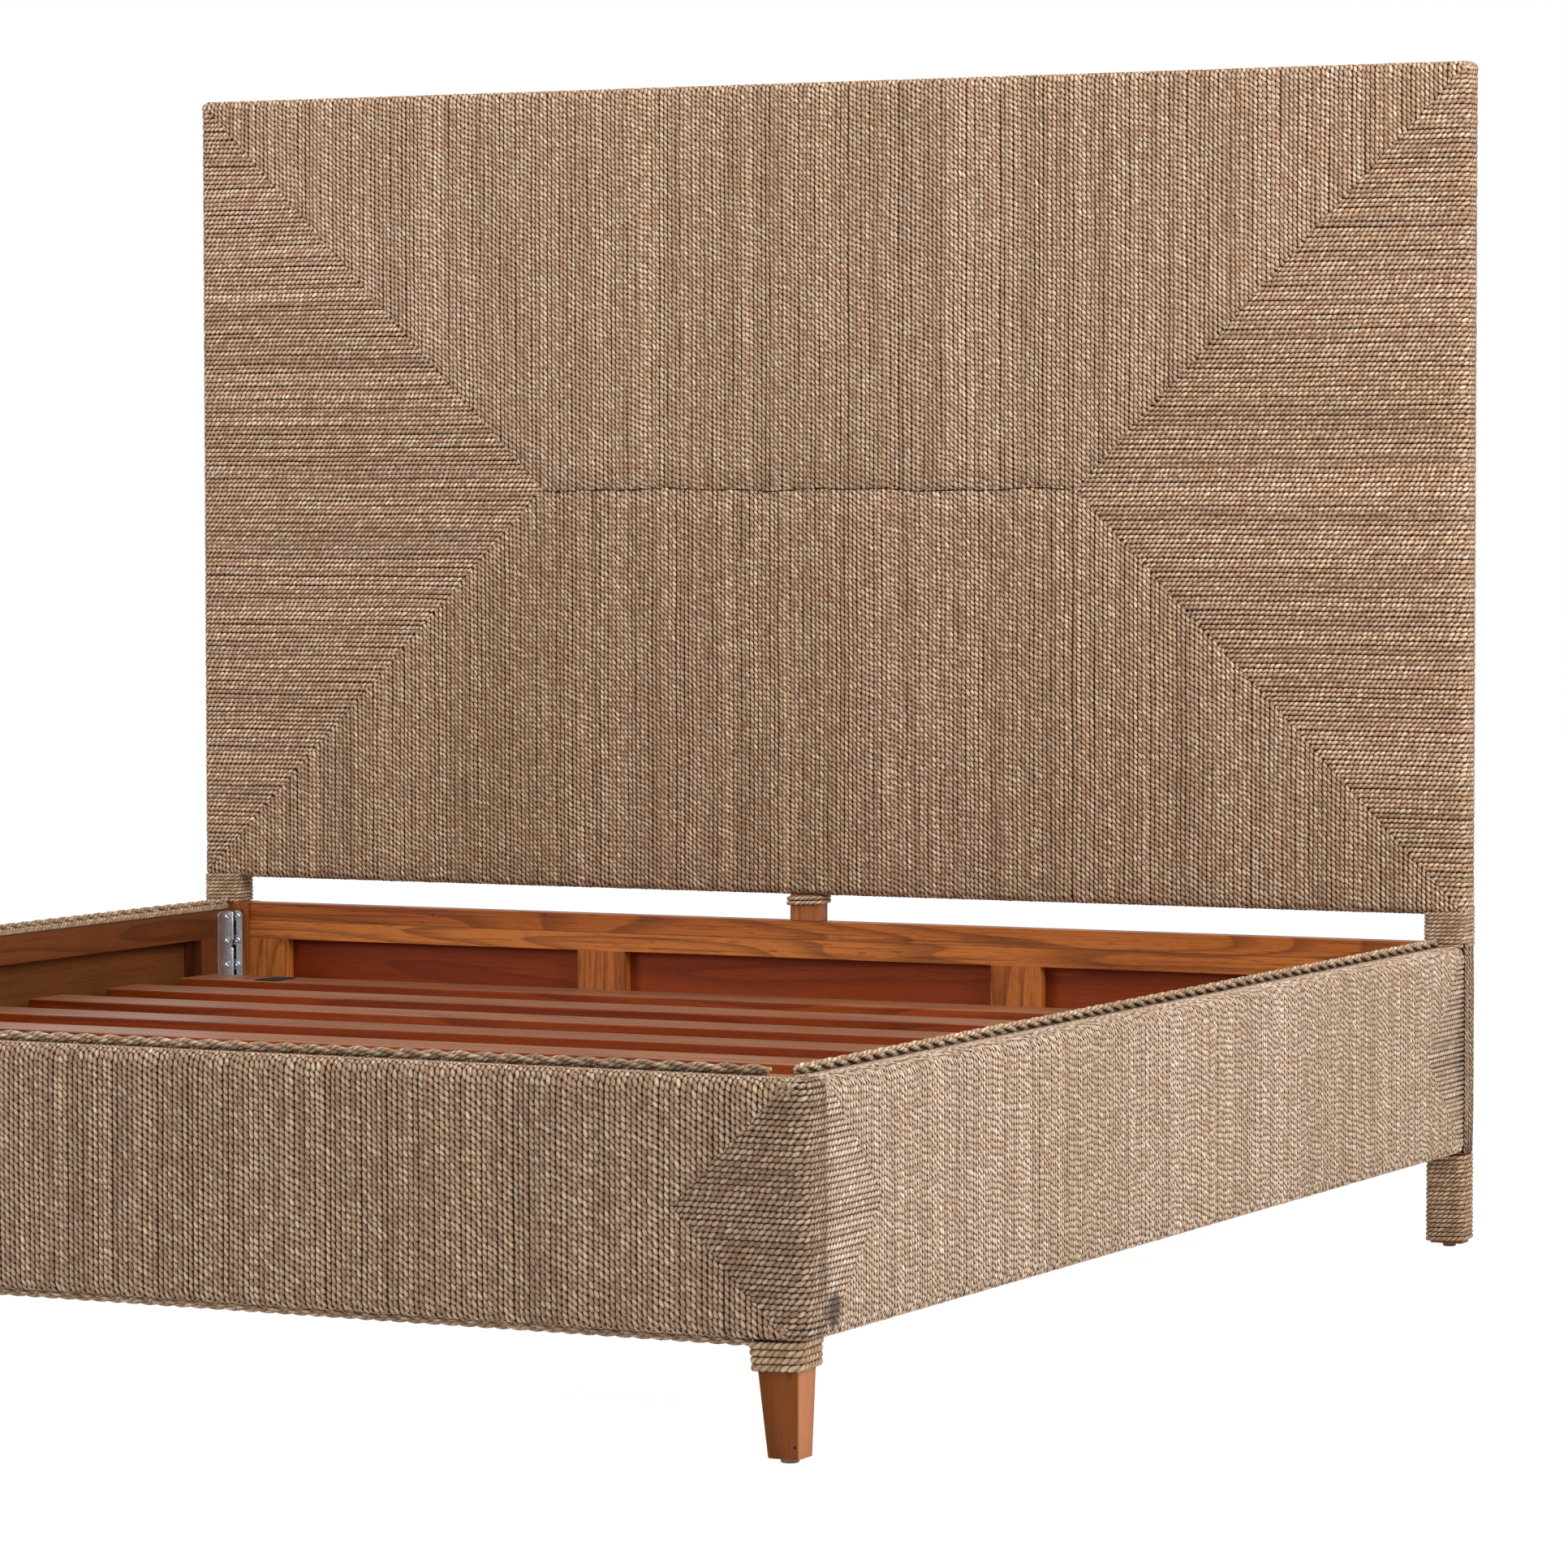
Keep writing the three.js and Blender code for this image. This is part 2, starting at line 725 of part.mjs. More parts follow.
// Grooves where the lying ropes of each end meet the upright ones at 45 degrees
function railSeams([front, back]) {
  const reach = railHeight / 2 + cutOverrun;
  const half = (seamGrooveWidth / 2) * Math.SQRT2;
  const x = [halfWidth - seamGrooveDepth, halfWidth + cutOverrun];
  return [[front, 1], [back, -1]].map(([end, direction]) => {
    const tip = end + direction * (railHeight / 2);
    const base = tip - direction * reach;
    return alongX(polygon([
      [base - half, railMiddle + reach],
      [base + half, railMiddle + reach],
      [tip + half, railMiddle],
      [base + half, railMiddle - reach],
      [base - half, railMiddle - reach],
      [tip - half, railMiddle],
    ]), x);
  });
}

function cordAlongY(diameter, [from, to]) {
  const path = new THREE.LineCurve3(new THREE.Vector3(0, from, 0), new THREE.Vector3(0, to, 0));
  return cordAlong(diameter, path);
}

function cordAlongX(diameter, [from, to]) {
  const path = new THREE.LineCurve3(new THREE.Vector3(from, 0, 0), new THREE.Vector3(to, 0, 0));
  return cordAlong(diameter, path);
}

function cordAlong(diameter, path) {
  const section = new THREE.Shape(Array.from({ length: trimCordSides }, (_, side) => {
    const angle = (side * 2 * Math.PI) / trimCordSides;
    return new THREE.Vector2(Math.cos(angle), Math.sin(angle)).multiplyScalar(diameter / 2);
  }));
  return new THREE.ExtrudeGeometry(section, { steps: 1, extrudePath: path });
}

const trimCordHeight = railTop + seatGap + trimCordDiameter / 2;

function sideTrimCord() {
  const cord = cordAlongY(trimCordDiameter, [footInner + trimCordFootGap, headFront - trimCordHeadGap]);
  return cord.translate(innerHalfWidth + trimCordInset, 0, trimCordHeight);
}

// A batten that the slats rest on
function slatLedge() {
  return block(
    [innerHalfWidth - ledgeWidth, innerHalfWidth - seatGap],
    [footInner + seatGap, headFront - ledgeHeadGap],
    [slatUnderside - seatGap - ledgeHeight, slatUnderside - seatGap],
  );
}

// A steel angle that ties a side rail to the footboard
function cornerAngle() {
  const top = slatUnderside - ledgeHeight - anglePlateDrop;
  const [x, y] = [innerHalfWidth - seatGap, footInner + seatGap];
  return raised(polygon([
    [x, y],
    [x, y + anglePlateWidth],
    [x - anglePlateThickness, y + anglePlateWidth],
    [x - anglePlateThickness, y + anglePlateThickness],
    [x - anglePlateWidth, y + anglePlateThickness],
    [x - anglePlateWidth, y],
  ]), [top - anglePlateHeight, top]);
}

function placeSideRails(parent) {
  placePair(parent, 'side_rail_frame', railFrame(), railWood);
  placePair(parent, 'side_rail_panel', railPanel(), railWood);
  placePair(parent, 'side_rail_wrap', railWrap(), sideRope);
  placePair(parent, 'side_trim_cord', sideTrimCord(), sideRope);
  placePair(parent, 'slat_ledge', slatLedge(), hiddenWood);
  placePair(parent, 'rail_hook_plate', railHookPlate(), zinc);
  placePair(parent, 'foot_corner_angle', cornerAngle(), zinc);
}

// Footboard

const footWood = [footFront + ropeThickness + seatGap, footInner];
const tenonCentre = [legOuter - legTopWidth / 2, legFront + legTopDepth / 2];

function legTenon(clearance, top) {
  const radius = legTenonDiameter / 2 + clearance;
  const profile = [[0, legTop - cutOverrun], [radius, legTop - cutOverrun], [radius, top], [0, top]];
  return turned(profile).translate(...tenonCentre, 0);
}

function legMortises() {
  const mortise = legTenon(seatGap, legTop + legTenonLength + seatGap);
  return [mortise, mirrored(mortise)];
}

function footFrame() {
  const end = innerHalfWidth - railEndWidth;
  const heights = [windowUnderside, windowTop];
  const window = block([-end, end], [footFront, footInner + cutOverrun], heights);
  const rebate = block(
    [-end - panelLap, end + panelLap],
    [footFront, footWood[0] + railSheet],
    [windowUnderside - panelLap, windowTop + panelLap],
  );
  const body = block([-woodOuter, woodOuter], footWood, [woodUnderside, woodTop]);
  return cut(join(body, beamSeat(footInner, 1)), window, rebate, ...legMortises());
}

function footPanel() {
  const end = innerHalfWidth - railEndWidth + panelLap - seatGap;
  const lap = panelLap - seatGap;
  return block([-end, end], [footWood[0], footWood[0] + railSheet - seatGap],
    [windowUnderside - lap, windowTop + lap]);
}

// The rope's outer shape round the footboard's front, top, underside and both ends, open inwards
function footShell() {
  const outer = softBlock(
    [-halfWidth, halfWidth],
    [footFront, footInner + 2 * railEdgeRadius],
    [railUnderside, railTop],
    railEdgeRadius,
  );
  const past = [footInner, footInner + 2 * railEdgeRadius + cutOverrun];
  const inward = block([-halfWidth - cutOverrun, halfWidth + cutOverrun], past,
    [railUnderside - cutOverrun, railTop + cutOverrun]);
  const wood = block(
    [-halfWidth + ropeThickness, halfWidth - ropeThickness],
    [footFront + ropeThickness, footInner + cutOverrun],
    [railUnderside + ropeThickness, railTop - ropeThickness],
  );
  return cut(outer, inward, wood);
}

// Upright ropes fill the middle, lying ropes go round each end up to a 45 degree mitre
function footFields() {
  const reach = railHeight / 2 + cutOverrun;
  const base = halfWidth - footMitreInset + cutOverrun;
  const tip = base - reach;
  const shift = seatGap * Math.SQRT1_2;
  const end = halfWidth + cutOverrun;
  const [low, high] = [railMiddle - reach, railMiddle + reach];
  const [inner, outer] = [-shift, shift];
  return {
    middle: [
      [tip + inner, railMiddle], [base + inner, high], [-base - inner, high],
      [-tip - inner, railMiddle], [-base - inner, low], [base + inner, low],
    ],
    corner: [[tip + outer, railMiddle], [base + outer, low], [end, low], [end, high], [base + outer, high]],
  };
}

function placeFootboard(parent) {
  place(parent, 'foot_frame', footFrame(), railWood);
  place(parent, 'foot_panel', footPanel(), railWood);
  const depth = [footFront - cutOverrun, footInner + cutOverrun];
  const fields = footFields();
  const shell = cut(footShell(), ...legMortises());
  const bead = cordAlongX(beadDiameter, [-legInnerRoom, legInnerRoom]);
  bead.translate(0, footInner - beadDiameter / 2, railUnderside + beadDiameter / 2 - beadDrop);
  place(parent, 'foot_wrap_middle', join(common(shell, alongY(polygon(fields.middle), depth)), bead), footRope);
  placePair(parent, 'foot_wrap_corner', common(shell, alongY(polygon(fields.corner), depth)), footRope);
  const cordEnd = innerHalfWidth - trimCordFootGap;
  const cord = cordAlongX(trimCordDiameter, [-cordEnd, cordEnd]);
  cord.translate(0, footInner - trimCordInset, trimCordHeight);
  place(parent, 'foot_trim_cord', cord, footRope);
}

// Front legs: straight outside, tapered on their two inner faces

function legSection(height) {
  const share = (height - glideHeight) / (legTop - glideHeight);
  const width = legFootWidth + (legTopWidth - legFootWidth) * share;
  const depth = legFootDepth + (legTopDepth - legFootDepth) * share;
  return { centre: [-width / 2, depth / 2], width, depth, radius: legEdgeRadius };
}

function legRing(height) {
  const { centre, width, depth, radius } = legSection(height);
  const points = roundedRectangle(width, depth, radius).getPoints(cornerFacets / 2);
  return points.map((point) => new THREE.Vector3(centre[0] + point.x, centre[1] + point.y, height));
}

function frontLeg() {
  const body = loft([legRing(glideHeight + seatGap), legRing(legTop)]);
  const tenon = legTenon(0, legTop + legTenonLength).translate(-legOuter, -legFront, 0);
  return join(body, tenon);
}

function placeFrontLegs(parent) {
  const leg = frontLeg();
  const collarTop = legTop - legCollarDrop;
  const foot = legSection(glideHeight);
  sides.forEach(([name, side]) => {
    const corner = group(parent, side * legOuter, legFront);
    place(corner, `front_leg_${name}`, side > 0 ? leg : mirrored(leg), legWood);
    placeWinding(corner, `front_leg_collar_${name}`, {
      loops: legCollarLoops,
      bottom: collarTop - windingHeight(legCollarLoops),
      top: collarTop,
      sectionAt: (height) => {
        const section = legSection(height);
        return { ...section, centre: [side * section.centre[0], section.centre[1]] };
      },
    }, sideRope);
    const pad = group(corner, side * foot.centre[0], foot.centre[1]);
    place(pad, `front_glide_${name}`, glide(frontGlideDiameter), plastic);
  });
}

// Slats and the beam under their middle

function placeSlats(parent) {
  const end = innerHalfWidth - slatEndClearance;
  const outline = roundedRectangle(slatWidth, slatThickness, slatEdgeRadius);
  const slat = alongX(outline, [-end, end]);
  const first = headFront - slatHeadInset - slatWidth / 2;
  const last = footInner + slatFootInset + slatWidth / 2;
  for (let i = 0; i < slatCount; i += 1) {
    const y = first + ((last - first) * i) / (slatCount - 1);
    place(group(parent, 0, y, slatTop - slatThickness / 2), `slat_${i + 1}`, slat, slatWood);
  }
}

function placeCentreBeam(parent) {
  const ends = [footInner + seatGap, lowerFront - seatGap];
  const width = [-beamWidth / 2, beamWidth / 2];
  place(parent, 'centre_beam', block(width, ends, [beamUnderside, beamUnderside + beamHeight]), hiddenWood);
  const radius = beamFootDiameter / 2;
  const half = beamLegSize / 2;
  const top = beamUnderside - seatGap;
  beamLegPlaces.forEach((y, i) => {
    const post = block([-half, half], [-half, half], [beamFootHeight, top]);
    const foot = turned([[0, 0], [radius, 0], [radius, beamFootHeight + cutOverrun],
      [0, beamFootHeight + cutOverrun]]);
    place(group(parent, 0, y), `beam_leg_${i + 1}`, join(post, foot), hiddenWood);
  });
}

placeHeadboard(bed);
placePosts(bed);
placeLowerFrame(bed);
placeSideRails(bed);
placeFootboard(bed);
placeFrontLegs(bed);
placeSlats(bed);
placeCentreBeam(bed);

export default bed;
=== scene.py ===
"""King-size bed frame covered in twisted rush rope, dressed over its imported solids.

Metres, +Z up, headboard at +Y. Ropes are rows of closed tubes laid side by side over the
boards, wound round the posts, or twisted in pairs into trim cords. Their lay is drawn by the
material from each tube's own map: U is the length along the rope in metres, V is the number of
the rope plus the share of a turn round it.
"""

import math

import bmesh
import bpy
import numpy as np
from mathutils import Matrix, Vector


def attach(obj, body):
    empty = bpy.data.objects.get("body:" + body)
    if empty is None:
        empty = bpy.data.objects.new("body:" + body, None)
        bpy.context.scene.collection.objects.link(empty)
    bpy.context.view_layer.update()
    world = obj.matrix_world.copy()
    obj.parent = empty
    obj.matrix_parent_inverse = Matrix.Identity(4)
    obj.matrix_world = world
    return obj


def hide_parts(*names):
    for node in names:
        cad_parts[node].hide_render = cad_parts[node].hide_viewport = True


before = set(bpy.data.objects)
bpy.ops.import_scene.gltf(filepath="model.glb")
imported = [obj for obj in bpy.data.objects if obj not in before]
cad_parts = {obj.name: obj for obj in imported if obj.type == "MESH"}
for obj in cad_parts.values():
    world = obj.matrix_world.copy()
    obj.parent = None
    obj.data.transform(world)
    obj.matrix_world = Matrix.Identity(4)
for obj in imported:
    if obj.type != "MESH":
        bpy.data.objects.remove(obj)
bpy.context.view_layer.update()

MM = 0.001

# Sizes of the bed, as in its solids
HALF_WIDTH = 1025 * MM
HALF_LENGTH = 1072.5 * MM
INNER_HALF = 975 * MM
HEAD_BACK = HALF_LENGTH
HEAD_FRONT = HEAD_BACK - 45 * MM
FOOT_FRONT = -HALF_LENGTH
FOOT_INNER = FOOT_FRONT + 50 * MM
RAIL_LOW = 132 * MM
RAIL_TOP = 421 * MM
RAIL_MID = (RAIL_LOW + RAIL_TOP) / 2
HALF_RAIL = (RAIL_TOP - RAIL_LOW) / 2
RAIL_HEAD_END = HEAD_FRONT - 3 * MM
JOINT_TOP = 426 * MM
PANEL_LOW = 465 * MM
PANEL_TOP = 1650 * MM
PANEL_MID = (PANEL_LOW + PANEL_TOP) / 2
HALF_PANEL = (PANEL_TOP - PANEL_LOW) / 2
HEAD_EDGE = 11 * MM  # radius of the covered edges
RAIL_EDGE = 16 * MM
FOOT_MITRE = HALF_WIDTH - 20 * MM
LEG_OUTER = HALF_WIDTH - 14 * MM
LEG_FRONT = FOOT_FRONT + 8 * MM
POST_WIDTH = 60 * MM
POST_X = (HALF_WIDTH + HALF_WIDTH - POST_WIDTH) / 2
POST_Y = (HEAD_FRONT + HEAD_BACK) / 2
SLAT_TOP = 320 * MM

# Rope
ROPE = 3.1 * MM  # half its thickness
PITCH = 6.7 * MM  # from one rope to its neighbour
LAY = 8.0 * MM  # along the rope, from one ply to the next
END = 1.3 * MM  # how much of a cut end is drawn in
CUT = 0.7  # share of the thickness that is left there
MITRE_GAP = 0.6 * MM  # from a rope's end to the mitre
STEPS_A_LOOP = 36  # of a rope wound round a post
STEPS_A_LAY = 14  # of a strand in a trim cord

# Angles at which a tube's faces meet: for ropes that lie on a board, and for ropes seen all round
SIX = np.radians([-90.0, 4.0, 48.0, 90.0, 132.0, 176.0])
EIGHT = np.radians([-90.0, -45.0, 0.0, 45.0, 90.0, 135.0, 180.0, 225.0])
UP = np.array([0.0, 0.0, 1.0])
SIDES = (("left", -1), ("right", 1))


# Meshes

def add_mesh(name, points, quads, caps, uv, material, replaces=()):
    """One piece from whole arrays: points (n, 3), quads (m, 4), caps (k, c), and a map per corner."""
    mesh = bpy.data.meshes.new(name)
    corners = np.concatenate([quads.ravel(), caps.ravel()]).astype(np.int32)
    sizes = np.concatenate([np.full(len(quads), 4), np.full(len(caps), caps.shape[1])])
    starts = np.concatenate([[0], np.cumsum(sizes)[:-1]]).astype(np.int32)
    mesh.vertices.add(len(points))
    mesh.vertices.foreach_set("co", np.asarray(points, dtype=np.float32).ravel())
    mesh.loops.add(len(corners))
    mesh.loops.foreach_set("vertex_index", corners)
    mesh.polygons.add(len(sizes))
    mesh.polygons.foreach_set("loop_start", starts)
    mesh.update(calc_edges=True)
    mesh.validate()
    layer = mesh.uv_layers.new(name="lay")
    layer.data.foreach_set("uv", np.asarray(uv, dtype=np.float32).ravel())
    mesh.polygons.foreach_set("use_smooth", np.ones(len(sizes), dtype=bool))
    return add_piece(name, mesh, material, replaces)


def add_piece(name, mesh, material, replaces):
    """Hang a mesh into the scene on the bed's only body, with its material."""
    piece = bpy.data.objects.new(name, mesh)
    bpy.context.scene.collection.objects.link(piece)
    mesh.materials.append(material)
    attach(piece, "root")
    if replaces:
        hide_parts(*replaces)
    return piece


def rope_arrays(centre, outward, beside, radius, first, angle=SIX, from_end=False, wide=1.22):
    """Closed tubes. Each ring is its centre plus radius times (wide cos a beside + sin a outward).

    centre, outward and beside are (ropes, steps, 3), radius is (ropes, steps). The angles start
    at the back of the rope, so that the map's seam is hidden there. U is the length along the
    rope, from its start or, if from_end, up to zero at its end. V is the rope's number, counted
    from first, plus the share of a turn, which stays just under a whole one.
    """
    ropes, steps = centre.shape[:2]
    sides = len(angle)
    if np.dot(np.cross(beside[0, 0], outward[0, 0]), centre[0, 1] - centre[0, 0]) < 0:
        beside = -beside
    ring = (wide * np.cos(angle)[:, None] * beside[:, :, None, :]
            + np.sin(angle)[:, None] * outward[:, :, None, :])
    points = (centre[:, :, None, :] + radius[:, :, None, None] * ring).reshape(-1, 3)
    walk = np.linalg.norm(np.diff(centre, axis=1), axis=2)
    length = np.concatenate([np.zeros((ropes, 1)), np.cumsum(walk, axis=1)], axis=1)
    if from_end:
        length = length - length[:, -1:]
    share = (angle - angle[0]) / (2 * np.pi)
    i, j, k = np.meshgrid(np.arange(ropes), np.arange(steps - 1), np.arange(sides), indexing="ij")
    after = (k + 1) % sides

    def vertex(step, side):
        """Number of the point at a step and a side of each rope."""
        return (i * steps + step) * sides + side

    quads = np.stack([vertex(j, k), vertex(j, after), vertex(j + 1, after), vertex(j + 1, k)], axis=-1)
    u = np.stack([length[i, j], length[i, j], length[i, j + 1], length[i, j + 1]], axis=-1)
    low, high = share[k], np.where(after == 0, 0.9999, share[after])
    v = first + i[..., None] + np.stack([low, high, high, low], axis=-1)
    uv = np.stack([u, v], axis=-1).reshape(-1, 2)
    start = (np.arange(ropes) * steps)[:, None] * sides + np.arange(sides)[::-1]
    end = (np.arange(ropes) * steps + steps - 1)[:, None] * sides + np.arange(sides)
    caps = np.concatenate([start, end])
    cap_u = np.concatenate([length[:, :1], length[:, -1:]]).repeat(sides, axis=1)
    cap_v = first + np.concatenate([np.arange(ropes)] * 2)[:, None].repeat(sides, axis=1) + 0.5
    cap_uv = np.stack([cap_u, cap_v], axis=-1).reshape(-1, 2)
    return points, quads.reshape(-1, 4), caps, np.concatenate([uv, cap_uv])


def rope_piece(name, sets, material, replaces=()):
    """One piece from several sets of ropes, with their vertex numbers carried on."""
    points, quads, caps, quad_uv, cap_uv = [], [], [], [], []
    base = 0
    for set_points, set_quads, set_caps, uv in sets:
        points.append(set_points)
        quads.append(set_quads + base)
        caps.append(set_caps + base)
        quad_uv.append(uv[:set_quads.size])
        cap_uv.append(uv[set_quads.size:])
        base += len(set_points)
    add_mesh(name, np.concatenate(points), np.concatenate(quads), np.concatenate(caps),
             np.concatenate(quad_uv + cap_uv), material, replaces)


def chance(seed):
    """Random numbers that are the same each run."""
    return np.random.default_rng(seed)


def wander(across, along, seed, reach=0.7 * MM):
    """Slow sideways drift of a rope: three crossed waves over the field, of 17 to 85 radians a
    metre, so that neighbours drift alike."""
    phase = chance(seed).uniform(0, 2 * np.pi, 6)
    return reach * (np.sin(across * 9 + along * 14 + phase[0]) * 0.5
                    + np.sin(across * 31 - along * 27 + phase[1]) * 0.3
                    + np.sin(across * 70 + along * 49 + phase[2]) * 0.2)


def loosened(ropes, along, seed, reach=0.32 * MM):
    """Each rope's own sideways drift: a wave along it with its own start and length."""
    own = chance(seed)
    phase = own.uniform(0, 2 * np.pi, (ropes, 1))
    rate = own.uniform(14, 34, (ropes, 1))
    return reach * np.sin(along * rate + phase)


def spaced(low, high, seed, loose=0.22 * MM):
    """Places of ropes side by side between two limits, each a little off its even place."""
    count = int(round((high - low) / PITCH))
    even = low + (np.arange(count) + 0.5) * (high - low) / count
    return even + chance(seed).normal(0, loose, count).clip(-0.6 * MM, 0.6 * MM)


def thickness(ropes, steps, seed, drawn=(True, True)):
    """Radius of each rope along its length: its own mean, drawn in at the ends that are cut. It is
    a little over half the distance to its neighbours, so that they press on each other."""
    own = chance(seed).normal(1.0, 0.045, ropes).clip(0.88, 1.1)
    radius = np.repeat(own[:, None], steps, axis=1) * ROPE * 1.13
    if drawn[0]:
        radius[:, 0] *= CUT
    if drawn[1]:
        radius[:, -1] *= CUT
    return radius


def quarter(steps):
    """Angles over a quarter turn."""
    return np.linspace(0, np.pi / 2, steps)


# Shader helpers

def link(signal, socket):
    """Join a signal to an input socket."""
    socket.id_data.links.new(signal.socket, socket)


def node(tree, kind, values=None, **settings):
    """A new node with its settings, and in each input that values names a number or a link."""
    made = tree.nodes.new(kind)
    for key, value in settings.items():
        setattr(made, key, value)
    for key, value in (values or {}).items():
        if isinstance(value, Signal):
            link(value, made.inputs[key])
        else:
            made.inputs[key].default_value = value
    return made


def read(tree, kind, values=None, output=0, **settings):
    """One output of a new node, as a signal."""
    return Signal(node(tree, kind, values, **settings).outputs[output])


def arithmetic(operation, swapped=False):
    """The method behind an operator: a Math node over two values, in the order they are written."""
    def method(self, other):
        """This signal with another signal or a number."""
        return self.maths(operation, other, self) if swapped else self.maths(operation, self, other)
    return method


class Signal:
    """The output of a shader node. Operators between signals and numbers make Math nodes."""

    __add__, __radd__ = arithmetic("ADD"), arithmetic("ADD", swapped=True)
    __sub__, __rsub__ = arithmetic("SUBTRACT"), arithmetic("SUBTRACT", swapped=True)
    __mul__, __truediv__, __pow__ = arithmetic("MULTIPLY"), arithmetic("DIVIDE"), arithmetic("POWER")

    def __init__(self, socket):
        """Keep the output and the node tree that it is in."""
        self.socket = socket
        self.tree = socket.id_data

    def maths(self, operation, *values):
        """A Math node over the values."""
        return read(self.tree, "ShaderNodeMath", dict(enumerate(values)), operation=operation)

    def does(self, operation, *others):
        """A Math node whose first value is this signal."""
        return self.maths(operation, self, *others)


def tree_of(*values):
    """The tree that the signals among the values belong to."""
    return next(value.tree for value in values if isinstance(value, Signal))


def blended(share, a, b, mode="MIX"):
    """Two colours mixed: the first where the share is 0, the second where it is 1."""
    return read(tree_of(share, a, b), "ShaderNodeMix", {0: share, 6: a, 7: b}, 2,
                data_type="RGBA", blend_type=mode)


def tinted(colour, tint):
    """A colour times a tint, channel by channel."""
    return blended(1.0, colour, tint, "MULTIPLY")


def noise(vector, scale, detail=2.0, roughness=0.5):
    """Cloudy noise around one half, at the vector times the scale."""
    return read(vector.tree, "ShaderNodeTexNoise",
                {"Vector": vector, "Scale": scale, "Detail": detail, "Roughness": roughness}, "Fac")


def ramp(value, low, high):
    """0 at low, 1 at high and a smooth step between them; low may be the greater."""
    return read(value.tree, "ShaderNodeMapRange", {0: value, 1: low, 2: high, 3: 0.0, 4: 1.0},
                interpolation_type="SMOOTHSTEP")


def combine(x, y, z):
    """A vector of three values."""
    return read(tree_of(x, y, z), "ShaderNodeCombineXYZ", {0: x, 1: y, 2: z})


def split(vector):
    """The three values of a vector."""
    return [Signal(socket) for socket in node(vector.tree, "ShaderNodeSeparateXYZ", {0: vector}).outputs]


def object_place(tree):
    """Place in metres, in the part's frame."""
    return read(tree, "ShaderNodeTexCoord", output="Object")


def bumped(strength, distance, height):
    """Normal of a surface raised by the distance times the height, at a strength up to 1."""
    return read(height.tree, "ShaderNodeBump", {"Strength": strength, "Distance": distance, "Height": height})


def srgb(red, green, blue):
    """Linear colour, opaque, of three 8-bit sRGB steps."""
    linear = [(c / 255 / 12.92) if c <= 10 else ((c / 255 + 0.055) / 1.055) ** 2.4
              for c in (red, green, blue)]
    return (*linear, 1.0)


def new_material(name):
    """An empty material with a shader and an output."""
    material = bpy.data.materials.new(name)
    material.use_nodes = True
    tree = material.node_tree
    tree.nodes.clear()
    shader = tree.nodes.new("ShaderNodeBsdfPrincipled")
    out = tree.nodes.new("ShaderNodeOutputMaterial")
    tree.links.new(shader.outputs[0], out.inputs[0])
    return material, tree, shader


def show(shader, colour, roughness, normal=None, gloss=None):
    """Link what a material looks like to its shader; gloss is a constant specular level."""
    link(colour, shader.inputs["Base Color"])
    link(roughness, shader.inputs["Roughness"])
    if normal is not None:
        link(normal, shader.inputs["Normal"])
    if gloss is not None:
        shader.inputs["Specular IOR Level"].default_value = gloss


def new_group(name, **inputs):
    """A node group that puts out a colour, a height and a roughness, and its inputs as signals."""
    tree = bpy.data.node_groups.new(name, "ShaderNodeTree")
    for label, kind in inputs.items():
        tree.interface.new_socket(label, in_out="INPUT", socket_type="NodeSocket" + kind)
    for label, kind in (("Color", "Color"), ("Height", "Float"), ("Roughness", "Float")):
        tree.interface.new_socket(label, in_out="OUTPUT", socket_type="NodeSocket" + kind)
    given = tree.nodes.new("NodeGroupInput").outputs
    put = tree.nodes.new("NodeGroupOutput").inputs
    return tree, [Signal(given[label]) for label in inputs], put


def use_group(tree, group, **values):
    """The colour, the height and the roughness that a group gives for these values."""
    return [Signal(socket) for socket in node(tree, "ShaderNodeGroup", values, node_tree=group).outputs]


# Rush rope

